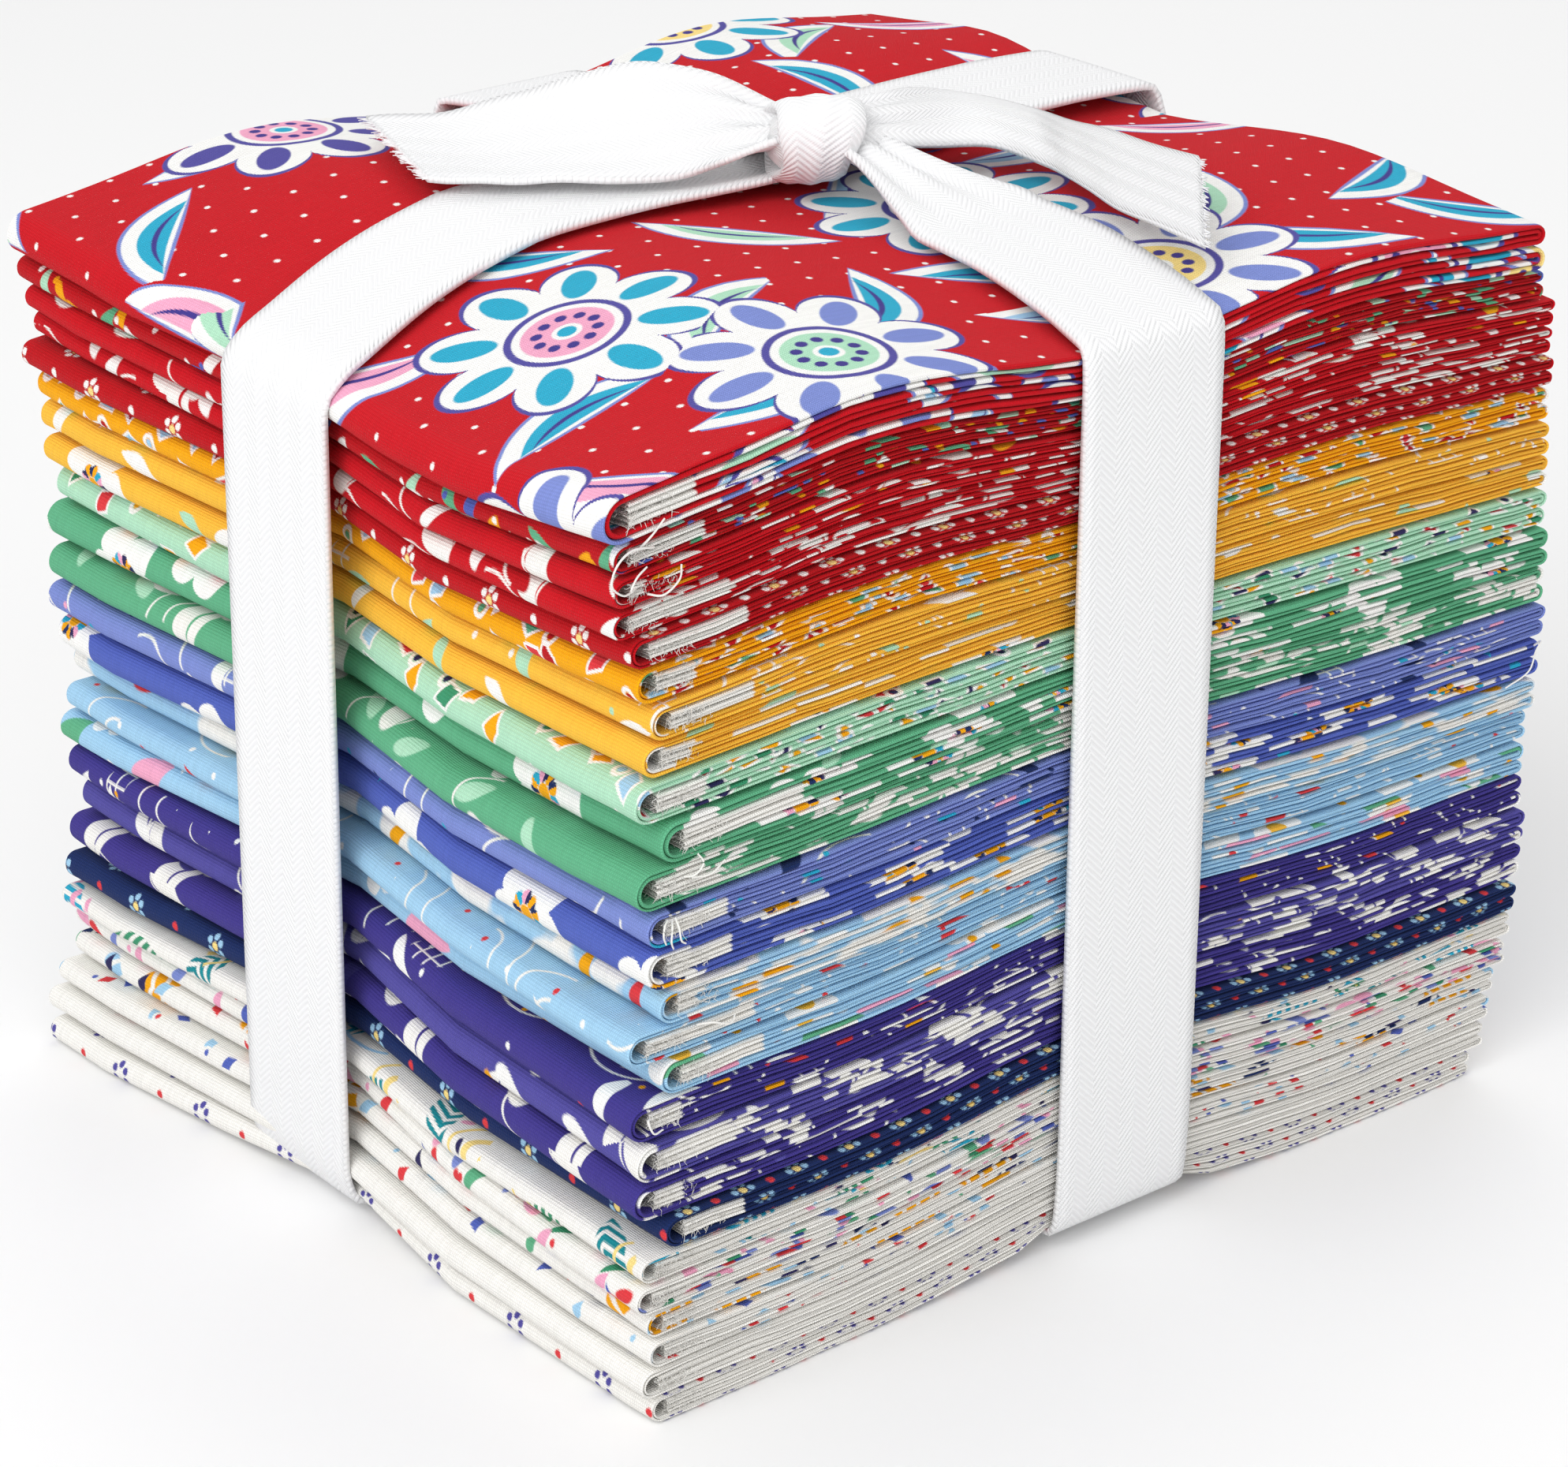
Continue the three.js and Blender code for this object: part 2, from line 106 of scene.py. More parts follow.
# The stage: each light's azimuth, elevation, distance, size and power
LIGHTS = {
    "key": (-70.0, 42.0, 1.1, 0.9, 7.4),
    "fill": (-8.0, 28.0, 1.2, 0.9, 2.5),
    "back": (130.0, 55.0, 1.2, 0.8, 3.0),
}
SKY_STRENGTH = 0.62
FLOOR_REACH = 6.0  # metres
FLOOR_DROP = 0.0002  # metres, so that the floor and the cloth don't share a plane

PAINTS = {
    "red": (202, 8, 26),
    "deep red": (190, 8, 22),
    "amber": (249, 172, 6),
    "yellow": (252, 193, 64),
    "pale yellow": (252, 224, 140),
    "mint": (178, 226, 196),
    "green": (98, 178, 136),
    "deep green": (60, 150, 110),
    "periwinkle": (126, 142, 210),
    "blue": (84, 102, 188),
    "sky": (164, 208, 238),
    "turquoise": (40, 172, 206),
    "teal": (20, 140, 150),
    "purple": (66, 56, 140),
    "light purple": (84, 78, 160),
    "navy": (24, 44, 96),
    "pink": (244, 170, 200),
    "coral": (226, 60, 66),
    "white": (250, 249, 246),
    "off white": (247, 245, 240),
    "ink": (44, 40, 90),
    "tape": (243, 243, 244),
}
# The dark colour that the tape's painted weave shade is mixed towards.
SHADE_BLACK = (0.0, 0.0, 0.0)


def linear(name):
    """A paint as a linear colour."""
    shares = (value / 255 for value in PAINTS[name])
    return tuple(s / 12.92 if s <= 0.04045 else ((s + 0.055) / 1.055) ** 2.4 for s in shares)


# Settings that a user may change


class CottonSettings(bpy.types.PropertyGroup):
    """How the folded cottons lie and how their weave looks."""

    fold_puff: bpy.props.FloatProperty(
        name="Fold puff",
        description="How far a folded edge stands out, in millimetres",
        default=0.42,
        min=0.05,
    )
    edge_waver: bpy.props.FloatProperty(
        name="Edge waver",
        description="How unevenly the folded edges line up, in millimetres",
        default=0.34,
        min=0.0,
    )
    thread_pitch: bpy.props.FloatProperty(
        name="Thread pitch",
        description="Distance between two threads of the weave, in millimetres",
        default=0.3,
        min=0.1,
    )
    weave_depth: bpy.props.FloatProperty(
        name="Weave depth",
        description="Height of the weave's relief",
        default=0.00009,
        subtype="DISTANCE",
        unit="LENGTH",
    )


class TapeSettings(bpy.types.PropertyGroup):
    """The tape round the bundle."""

    thickness: bpy.props.FloatProperty(
        name="Thickness",
        description="Thickness of the tape, in millimetres",
        default=0.8,
        min=0.2,
    )
    colour: bpy.props.FloatVectorProperty(
        name="Colour",
        description="Colour of the tape's cotton",
        default=linear("tape"),
        subtype="COLOR",
        min=0.0,
        max=1.0,
    )


class StageSettings(bpy.types.PropertyGroup):
    """The floor and the lights."""

    floor_colour: bpy.props.FloatVectorProperty(
        name="Floor colour",
        description="Colour of the plain floor",
        default=(0.9, 0.9, 0.9),
        subtype="COLOR",
        min=0.0,
        max=1.0,
    )
    brightness: bpy.props.FloatProperty(
        name="Brightness",
        description="Strength of all the lights together",
        default=1.0,
        min=0.0,
    )


# Shader maths


class Field:
    """A value, vector or colour in a material. Arithmetic with it adds the nodes."""

    def __init__(self, shade, socket):
        self.shade = shade
        self.socket = socket

    @property
    def spatial(self):
        return self.socket.type in ("VECTOR", "RGBA")

    def __add__(self, other):
        return reckon("ADD", self, other)

    def __radd__(self, other):
        return reckon("ADD", other, self)

    def __sub__(self, other):
        return reckon("SUBTRACT", self, other)

    def __rsub__(self, other):
        return reckon("SUBTRACT", other, self)

    def __mul__(self, other):
        return reckon("MULTIPLY", self, other)

    def __rmul__(self, other):
        return reckon("MULTIPLY", other, self)

    def __truediv__(self, other):
        return reckon("DIVIDE", self, other)

    def __pow__(self, other):
        return reckon("POWER", self, other)

    def __abs__(self):
        return reckon("ABSOLUTE", self)


def reckon(operation, *values, clamp=False):
    """The result of a Math or Vector Math node on these values."""
    fields = [value for value in values if isinstance(value, Field)]
    shade = fields[0].shade
    spatial = any(field.spatial for field in fields)
    settings = {"operation": operation}
    if clamp:
        settings["use_clamp"] = True
    kind = "ShaderNodeVectorMath" if spatial else "ShaderNodeMath"
    outputs = shade.add(kind, settings, dict(enumerate(values)))
    return outputs["Value"] if operation == "LENGTH" or not spatial else outputs["Vector"]


class Shade:
    """A material while its nodes are being added."""

    def __init__(self, name):
        self.material = bpy.data.materials.new(name)
        self.material.use_nodes = True
        self.tree = self.material.node_tree
        self.surface = self.tree.nodes["Principled BSDF"]
        self.seed = 0

    def add(self, kind, settings=None, inputs=None):
        """The outputs, by name, of a new node with these settings and these socket values."""
        node = self.tree.nodes.new(kind)
        for name, value in (settings or {}).items():
            if name == "stops":
                self.set_stops(node.color_ramp, value)
            else:
                setattr(node, name, value)
        for name, value in (inputs or {}).items():
            self.feed(node.inputs[name], value)
        return {socket.name: Field(self, socket) for socket in node.outputs if socket.enabled}

    def set_stops(self, ramp, colours):
        """Equal runs of plain colours."""
        ramp.interpolation = "CONSTANT"
        while len(ramp.elements) < len(colours):
            ramp.elements.new(1.0)
        for i, colour in enumerate(colours):
            ramp.elements[i].position = i / len(colours)
            ramp.elements[i].color = (*colour, 1.0)

    def feed(self, socket, value):
        """Gives a socket another socket's value, a paint by its name, or plain numbers."""
        if isinstance(value, str):
            value = linear(value)
        if isinstance(value, Field):
            self.tree.links.new(value.socket, socket)
        elif socket.type == "VECTOR" and not hasattr(value, "__len__"):
            socket.default_value = (value, value, value)
        elif socket.type == "RGBA" and len(value) == 3:
            socket.default_value = (*value, 1.0)
        else:
            socket.default_value = value

    def cloth(self):
        """The place on the flat cloth, along and across, in millimetres."""
        return self.add("ShaderNodeAttribute", {"attribute_name": "cloth"})["Vector"]

    def finish(self, colour, height, depth, roughness, sheen):
        """Feeds the colour and the relief to the surface and gives the material."""
        bump = self.add(
            "ShaderNodeBump", inputs={"Height": height, "Distance": depth, "Strength": 1.0}
        )
        self.feed(self.surface.inputs["Base Color"], colour)
        self.feed(self.surface.inputs["Normal"], bump["Normal"])
        self.surface.inputs["Roughness"].default_value = roughness
        self.surface.inputs["Specular IOR Level"].default_value = 0.12
        self.surface.inputs["Sheen Weight"].default_value = sheen
        self.surface.inputs["Sheen Roughness"].default_value = 0.6
        return self.material


def over(ground, mask, colour):
    """The colour laid over the ground where the mask is 1."""
    node = {"data_type": "RGBA", "clamp_factor": True}
    return mask.shade.add("ShaderNodeMix", node, {0: mask, 6: ground, 7: colour})["Result"]


def parts(vector):
    outputs = vector.shade.add("ShaderNodeSeparateXYZ", inputs={0: vector})
    return outputs["X"], outputs["Y"], outputs["Z"]


def inside(distance, edge=0.16):
    """1 where a distance is under 0, with an edge of that width."""
    return reckon("MULTIPLY_ADD", distance, -1 / edge, 0.5, clamp=True)


def either(*masks):
    result = masks[0]
    for mask in masks[1:]:
        result = reckon("MAXIMUM", result, mask)
    return result


def noise(places, scale, detail):
    """Soft noise over flat places."""
    values = {"Vector": places, "Scale": scale, "Detail": detail}
    outputs = places.shade.add("ShaderNodeTexNoise", {"noise_dimensions": "2D"}, values)
    return next(iter(outputs.values()))


def chosen(pick, *paints):
    """One of the paints, by a random number from 0 to 1."""
    colours = [linear(paint) for paint in paints]
    ramp = pick.shade.add("ShaderNodeValToRGB", {"stops": colours}, {0: pick})
    return ramp["Color"]


# Motifs of the prints


class Place:
    """Where a point of the cloth lies from the middle of its motif."""

    def __init__(self, offset, picks):
        self.x, self.y, _ = parts(offset)
        self.radius = reckon("LENGTH", offset)
        self.picks = picks
        self.turn = None

    def angle(self):
        if self.turn is None:
            self.turn = reckon("ARCTAN2", self.y, self.x)
        return self.turn

    def paint(self, *paints):
        """One of the paints for each motif."""
        return chosen(self.picks[1], *paints)


def scattered(cloth, cell, shuffle=0.6, shift=0.0, turned=True):
    """Motifs strewn over the cloth, one to a cell of that size."""
    seed = cloth.shade.seed
    moved = cloth + (shift * 7.3 + seed * 97.0, shift * 13.1 + seed * 61.0, 0.0)
    cells = cloth.shade.add(
        "ShaderNodeTexVoronoi",
        {"voronoi_dimensions": "2D"},
        {"Vector": moved, "Scale": 1 / cell, "Randomness": shuffle},
    )
    picks = parts(cells["Color"])
    offset = moved - cells["Position"]
    if turned:
        offset = cloth.shade.add(
            "ShaderNodeVectorRotate",
            {"rotation_type": "Z_AXIS"},
            {"Vector": offset, "Center": 0.0, "Angle": picks[0] * math.tau},
        )["Vector"]
    return Place(offset, picks)


def lattice(cloth, pitch, shift=(0.0, 0.0)):
    """Motifs in straight rows, each second row moved by half a pitch."""
    moved = cloth / pitch + (*shift, 0.0)
    column, line, _ = parts(moved)
    odd = reckon("PINGPONG", reckon("FLOOR", line), 1.0)
    x = (reckon("FRACT", column + odd * 0.5) - 0.5) * pitch
    y = (reckon("FRACT", line) - 0.5) * pitch
    offset = cloth.shade.add("ShaderNodeCombineXYZ", inputs={"X": x, "Y": y})["Vector"]
    return Place(offset, ())


def dot(place, radius):
    return inside(place.radius - radius)


def ring(place, radius, line):
    return inside(abs(place.radius - radius) - line / 2)


def dot_ring(place, radius, dot_radius, count):
    """Dots in a circle."""
    step = math.tau / count
    wrapped = reckon("WRAP", place.angle(), step / 2, -step / 2)
    x = place.radius * reckon("COSINE", wrapped) - radius
    y = place.radius * reckon("SINE", wrapped)
    away = reckon("SQRT", x * x + y * y)
    return inside(away - dot_radius)


def blossom(place, radius, petals, notch=0.4):
    """A flower with round petals."""
    lobe = abs(reckon("COSINE", place.angle() * (petals / 2))) ** 0.7
    return inside(place.radius - (lobe * notch + (1 - notch)) * radius)


def gem(place, length, width):
    return inside((abs(place.x) / length + abs(place.y) / width - 1) * width)


def oval(place, length, width, x=0.0, y=0.0):
    across = (place.x - x) / length
    along = (place.y - y) / width
    return inside((reckon("SQRT", across * across + along * along) - 1) * width)


def leaf(place, length, width, bend=0.0):
    """A leaf with two points, bent like a bow."""
    share = place.x / length
    middle = (1 - share * share) * bend
    return inside(abs(place.y - middle) - (1 - share * share) * width)


def arcs(place, gap, line, reach, spread):
    """Thin arcs round one middle, in a fan."""
    step = abs(reckon("WRAP", place.radius, gap / 2, -gap / 2)) - line / 2
    fan = abs(place.angle()) - spread
    beyond = place.radius - reach
    return inside(reckon("MAXIMUM", step, reckon("MAXIMUM", fan * 4.0, beyond)))


# Prints. Each gives the colour over the flat cloth.


def layered(ground, *layers):
    """Paints laid over the ground in turn, each with its mask."""
    for mask, paint in layers:
        ground = over(ground, mask, paint)
    return ground


def garden_print(cloth):
    """Large round flowers and bowed leaves on a ground with pin dots."""
    pins = lattice(cloth, 5.6)
    sprays = scattered(cloth, 25.0, 0.75, shift=3.0)
    heads = scattered(cloth, 58.0, 0.65, shift=11.0)
    petals = 8
    petal_angle = reckon("WRAP", heads.angle(), math.pi / petals, -math.pi / petals)
    x = heads.radius * reckon("COSINE", petal_angle) - 11.6
    y = heads.radius * reckon("SINE", petal_angle)
    drop = reckon("SQRT", (x / 3.9) ** 2.0 + (y / 2.0) ** 2.0) - 1
    return layered(
        "red",
        (dot(pins, 0.36), "white"),
        (leaf(sprays, 12.5, 3.6, 3.0), "periwinkle"),
        (leaf(sprays, 12.0, 3.1, 3.0), "white"),
        (leaf(sprays, 9.0, 1.9, 2.4), sprays.paint("turquoise", "mint", "pink", "sky", "turquoise")),
        (leaf(sprays, 7.5, 0.35, 2.2), "purple"),
        (blossom(heads, 17.5, petals, 0.34), "light purple"),
        (blossom(heads, 16.7, petals, 0.34), "white"),
        (inside(drop * 2.0), heads.paint("turquoise", "light purple", "turquoise", "periwinkle")),
        (ring(heads, 6.6, 0.9), "light purple"),
        (dot(heads, 5.2), chosen(heads.picks[2], "pale yellow", "pink", "mint")),
        (dot_ring(heads, 3.4, 0.7, 10), "purple"),
        (dot(heads, 1.7), "white"),
        (dot(heads, 1.1), "turquoise"),
    )


def sprig_print(cloth, ground, leaves, bits):
    """Small leaf sprigs and loose bits."""
    sprigs = scattered(cloth, 9.0, 0.7, shift=1.0)
    pairs = scattered(cloth, 8.0, 0.8, shift=5.0)
    specks = scattered(cloth, 6.0, 0.8, shift=8.0)
    return layered(
        ground,
        (leaf(sprigs, 3.6, 0.95, 0.8), sprigs.paint(*leaves)),
        (oval(pairs, 1.9, 0.9, x=1.5), pairs.paint(*bits)),
        (oval(pairs, 1.5, 0.7, x=-1.7, y=0.6), chosen(pairs.picks[2], *bits)),
        (dot(specks, 0.42), specks.paint(*bits)),
    )


def petal_print(cloth, ground, bits):
    """Big white petals in pairs, with small coloured ones."""
    pairs = scattered(cloth, 16.5, 0.6, shift=2.0)
    petals = either(
        oval(pairs, 4.4, 2.3, x=3.0, y=1.0),
        oval(pairs, 3.9, 2.1, x=-3.4, y=-1.2),
        oval(pairs, 1.8, 3.6, x=-0.4, y=3.4),
    )
    small = scattered(cloth, 11.0, 0.8, shift=6.0)
    stems = scattered(cloth, 16.0, 0.7, shift=9.0)
    return layered(
        ground,
        (petals, "off white"),
        (leaf(pairs, 6.5, 0.28, 0.6), ground),
        (oval(small, 2.6, 1.0), small.paint(*bits)),
        (arcs(stems, 6.0, 0.32, 7.5, 0.8), "off white"),
    )


def arc_print(cloth, ground, bits):
    """Thin arcs in fans and a few patches of open net."""
    fans = scattered(cloth, 17.0, 0.7, shift=4.0)
    x, y, _ = parts(cloth)
    net = either(*(inside(abs(reckon("WRAP", place, 1.0, -1.0)) - 0.15) for place in (x, y)))
    patches = scattered(cloth, 19.0, 0.8, shift=7.0)
    petals = scattered(cloth, 15.0, 0.7, shift=10.0)
    specks = scattered(cloth, 7.0, 0.8, shift=12.0)
    return layered(
        ground,
        (arcs(fans, 3.6, 0.34, 9.0, 0.9), "off white"),
        (net * oval(patches, 3.6, 1.9), "off white"),
        (leaf(petals, 3.8, 1.1, 0.5), petals.paint(*bits)),
        (dot(specks, 0.38), specks.paint(*bits)),
    )


def dot_print(cloth, ground, petals, middle, dots):
    """Rings of six dots in straight rows, with single dots between, laid out from the middle of
    the cloth's length and from its first fold."""
    pitch = 7.6
    x = 0.5 - CLOTH_LENGTH / 2 / pitch % 1
    y = 0.33 - CLOTH_WIDTH / 4 / pitch % 1
    rings = lattice(cloth, pitch, (x, y))
    between = lattice(cloth, pitch, (x + 0.5, y))
    return layered(
        ground,
        (dot_ring(rings, 1.1, 0.42, 6), petals),
        (dot(rings, 0.5), middle),
        (dot(between, 0.5), dots),
    )


def gem_print(cloth, ground, gems, outline, cell=5.4, size=1.0):
    """Little gems and rings, strewn."""
    stones = scattered(cloth, cell, 0.7, shift=2.0)
    rings = scattered(cloth, cell * 1.3, 0.8, shift=6.0)
    return layered(
        ground,
        (gem(stones, 2.3 * size, 1.6 * size), outline),
        (gem(stones, 1.75 * size, 1.15 * size), stones.paint(*gems)),
        (ring(rings, 0.85 * size, 0.5 * size), outline),
        (dot(rings, 0.5 * size), rings.paint(*gems)),
    )


def flower_print(cloth, ground, small):
    """White flowers with many-coloured stamens."""
    flowers = scattered(cloth, 21.0, 0.5, shift=3.0)
    heart = 2.3
    pick = reckon("FRACT", flowers.angle() * (2.5 / math.tau) + flowers.picks[1])
    stamens = chosen(pick, "amber", "navy", "amber", "turquoise", "pink", "ink")
    buds = scattered(cloth, 17.0, 0.8, shift=9.0)
    return layered(
        ground,
        (blossom(flowers, 6.2, 5, 0.36), "white"),
        (dot_ring(flowers, heart * 0.72, heart * 0.3, 9), stamens),
        (dot(flowers, heart * 0.42), "amber"),
        (leaf(buds, 2.6, 0.9, 0.5), buds.paint(*small)),
    )


def shape_print(cloth, ground, bits):
    """Soft white shapes."""
    small = scattered(cloth, 12.0, 0.8, shift=5.0)
    return layered(
        ground,
        (inside(0.52 - noise(cloth, 0.11, 1.5), 0.04), "off white"),
        (oval(small, 2.2, 0.9), small.paint(*bits)),
    )


def blossom_print(cloth, ground):
    """Soft pink and green shapes with yellow-hearted flowers."""
    shapes = scattered(cloth, 13.0, 0.8, shift=2.0)
    flowers = scattered(cloth, 17.0, 0.5, shift=8.0)
    specks = scattered(cloth, 9.0, 0.8, shift=12.0)
    return layered(
        ground,
        (leaf(shapes, 5.5, 2.0, 1.4), shapes.paint("pink", "green", "sky", "white")),
        (blossom(flowers, 4.0, 6, 0.3), "white"),
        (dot(flowers, 1.3), "yellow"),
        (dot(specks, 0.6), specks.paint("coral", "amber", "white")),
    )


def leaf_print(cloth, ground):
    """Feathery leaves, dashes and light arcs."""
    leaves = scattered(cloth, 16.0, 0.6, shift=3.0)
    barbs = inside(abs(reckon("WRAP", leaves.x + abs(leaves.y) * 0.8, 0.75, -0.75)) - 0.42)
    fans = scattered(cloth, 15.0, 0.7, shift=7.0)
    dashes = scattered(cloth, 9.0, 0.8, shift=11.0)
    return layered(
        ground,
        (leaf(leaves, 6.5, 2.2, 0.8) * barbs, leaves.paint("turquoise", "deep green", "teal")),
        (arcs(fans, 3.0, 1.0, 6.0, 0.7), fans.paint("sky", "pale yellow", "pink")),
        (oval(dashes, 0.9, 0.4), dashes.paint("ink", "ink", "pink")),
    )


def block_print(cloth, ground):
    """Leaf and block shapes in stripes of strong colours."""
    blocks = scattered(cloth, 12.0, 0.7, shift=3.0)
    bands = inside(abs(reckon("WRAP", blocks.x, 1.0, -1.0)) - 0.7)
    small = scattered(cloth, 8.0, 0.8, shift=8.0)
    return layered(
        ground,
        (oval(blocks, 4.4, 2.2) * bands, blocks.paint("amber", "navy", "sky", "navy", "amber")),
        (gem(small, 1.6, 0.8), small.paint("ink", "green", "coral", "sky")),
    )


def plain_print(cloth, ground):
    return ground


# Each packet's print with its ground and its other paints
PRINTS = {
    "red_floral": (garden_print,),
    "red_sprigs": (sprig_print, "deep red", ("green", "mint", "green"), ("white", "white", "amber", "blue")),
    "red_petals": (petal_print, "red", ("amber", "white", "amber")),
    "red_arcs": (petal_print, "red", ("white", "deep red", "white")),
    "red_dots": (dot_print, "deep red", "white", "pale yellow", "white"),
    "amber_gems": (gem_print, "amber", ("coral", "green", "sky", "deep red"), "white"),
    "yellow_arcs": (arc_print, "yellow", ("white", "white", "mint")),
    "yellow_flowers": (flower_print, "yellow", ("mint", "white")),
    "mint_gems": (gem_print, "mint", ("coral", "deep green", "sky", "amber", "ink"), "white"),
    "green_flowers": (flower_print, "green", ("white", "mint")),
    "green_petals": (petal_print, "green", ("white", "mint")),
    "periwinkle_arcs": (arc_print, "periwinkle", ("pink", "turquoise", "navy", "white")),
    "blue_flowers": (flower_print, "blue", ("turquoise", "white")),
    "sky_shapes": (shape_print, "sky", ("amber", "coral", "white")),
    "sky_arcs": (arc_print, "sky", ("white", "coral", "white")),
    "sky_flowers": (blossom_print, "sky"),
    "purple_arcs": (arc_print, "purple", ("white", "coral", "amber", "white")),
    "purple_petals": (petal_print, "light purple", ("amber", "white")),
    "purple_flowers": (petal_print, "purple", ("white", "light purple")),
    "navy_dots": (dot_print, "navy", "sky", "pale yellow", "coral"),
    "white_leaves": (leaf_print, "off white"),
    "white_sprigs": (
        sprig_print, "off white", ("green", "blue", "deep green"), ("pink", "periwinkle", "coral")
    ),
    "white_blocks": (block_print, "off white"),
    "white_gems": (gem_print, "off white", ("coral", "sky", "blue"), "off white", 6.0, 0.7),
    "white_plain": (plain_print, "off white"),
    "white_flowers": (dot_print, "off white", "light purple", "off white", "coral"),
}


def cotton(name, seed, settings):
    """Printed plain-woven cotton, with painted shade in the hollows of its weave. The cloth's two short ends
    are its bare selvages.
    """
    shade = Shade(f"cotton {name}")
    shade.seed = seed
    cloth = shade.cloth()
    pitch = settings.thread_pitch
    threaded = reckon("SNAP", cloth, (pitch * 0.6, pitch * 0.5, 1.0))
    printer, *paints = PRINTS[name]
    along, across, _ = parts(cloth)
    selvage = 9.0 + 5.0 * math.sin(seed * 2.3) + 3.0 * math.sin(seed * 5.1)
    to_end = reckon("MINIMUM", along, CLOTH_LENGTH - along)
    bare = inside(to_end - selvage, 0.3)
    colour = over(printer(threaded, *paints), bare, "off white")
    warp = abs(reckon("SINE", along * (math.pi / pitch)))
    weft = abs(reckon("SINE", across * (math.pi / pitch)))
    pillow = warp * weft
    slub = noise(cloth * (0.25, 2.2, 0.0), 1.0, 2.0)
    # Painted shade and highlight of the weave: the colour is up to a fifth darker in the hollows between
    # threads than on the thread tops. The slub noise adds the yarn's own uneven tone.
    slub_and_weave_shade = slub * 0.14 + pillow * 0.2 + 0.82
    shaded = reckon("MULTIPLY", colour, slub_and_weave_shade)
    return shade.finish(shaded, pillow, settings.weave_depth, 0.85, 0.03)


def herringbone(settings):
    """White herringbone tape: columns of slanted ribs that turn at each column, with painted shade in the
    hollows between the ribs.
    """
    shade = Shade("herringbone tape")
    along, across, _ = parts(shade.cloth())
    column, rib_pitch, thread_pitch, relief = 2.2, 0.85, 0.34, 0.00012
    slant = reckon("PINGPONG", across, column)
    rib = reckon("SINE", (along + slant) * (math.tau / rib_pitch)) * 0.5 + 0.5
    thread = abs(reckon("SINE", (along - slant) * (math.pi / thread_pitch)))
    height = rib * 0.75 + thread * 0.25
    # Painted shade: the tape's colour is darkened by up to a tenth where the weave's relief is low.
    colour = over(SHADE_BLACK, height * 0.1 + 0.9, tuple(settings.colour))
    return shade.finish(colour, height, relief, 0.8, 0.03)


# Reading the frame


def solid_of(node):
    """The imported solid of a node, in millimetres, to look at with rays."""
    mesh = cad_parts[node].data
    points = [vertex.co / MM for vertex in mesh.vertices]
    return BVHTree.FromPolygons(points, [tuple(face.vertices) for face in mesh.polygons])


def met(solid, start, direction):
    """Where a ray first meets the solid."""
    place = solid.ray_cast(Vector(start), Vector(direction))[0]
    if place is None:
        raise RuntimeError(f"no part of the frame lies along {direction} from {start}")
    return place


def edge_met(solid, starts, direction):
    """How far out the solid reaches against a direction, seen from several places."""
    direction = Vector(direction)
    places = [solid.ray_cast(Vector(start), direction)[0] for start in starts]
    reaches = [place.dot(direction) for place in places if place is not None]
    if not reaches:
        raise RuntimeError(f"no part of the frame lies along {direction} from {starts[0]}")
    return min(reaches)


def weights(knots, at):
    """How much each knot counts at each place: smooth between knots, straight on past the ends."""
    knots = np.asarray(knots, float)
    at = np.asarray(at, float).ravel()
    unit = np.eye(len(knots))
    slopes = np.gradient(unit, knots, axis=0)
    span = np.clip(np.searchsorted(knots, at) - 1, 0, len(knots) - 2)
    width = knots[span + 1] - knots[span]
    share = (at - knots[span]) / width
    t = np.clip(share, 0.0, 1.0)
    here = (2 * t**3 - 3 * t**2 + 1)[:, None] * unit[span]
    here += ((t**3 - 2 * t**2 + t) * width)[:, None] * slopes[span]
    here += (3 * t**2 - 2 * t**3)[:, None] * unit[span + 1]
    here += ((t**3 - t**2) * width)[:, None] * slopes[span + 1]
    past = np.where(share < 0, span, span + 1)
    return here + ((share - t) * width)[:, None] * slopes[past]


def ripple(at, seed, waves=(61.0, 27.0, 12.0), powers=(1.0, 0.6, 0.35)):
    """An uneven line between about -1 and 1."""
    random = np.random.default_rng(seed)
    line = np.zeros(np.shape(at))
    for wave, power in zip(waves, powers):
        line += power * np.sin(np.asarray(at) * (math.tau / wave) + random.uniform(0, math.tau))
    return line / sum(powers)


def channel(offset):
    """How far the tape lifts the lowest cloth, by the distance from the tape's middle."""
    past = np.clip((np.abs(offset) - CHANNEL_HALF) / CHANNEL_SLOPE, 0.0, 1.0)
    return CHANNEL_HEIGHT * (1 - past * past * (3 - 2 * past))


def tape_lift(x, y):
    """How far the two runs of the tape lift the lowest cloth."""
    return np.maximum(channel(x - CROSS_TAPE_X), channel(y - LONG_TAPE_Y))


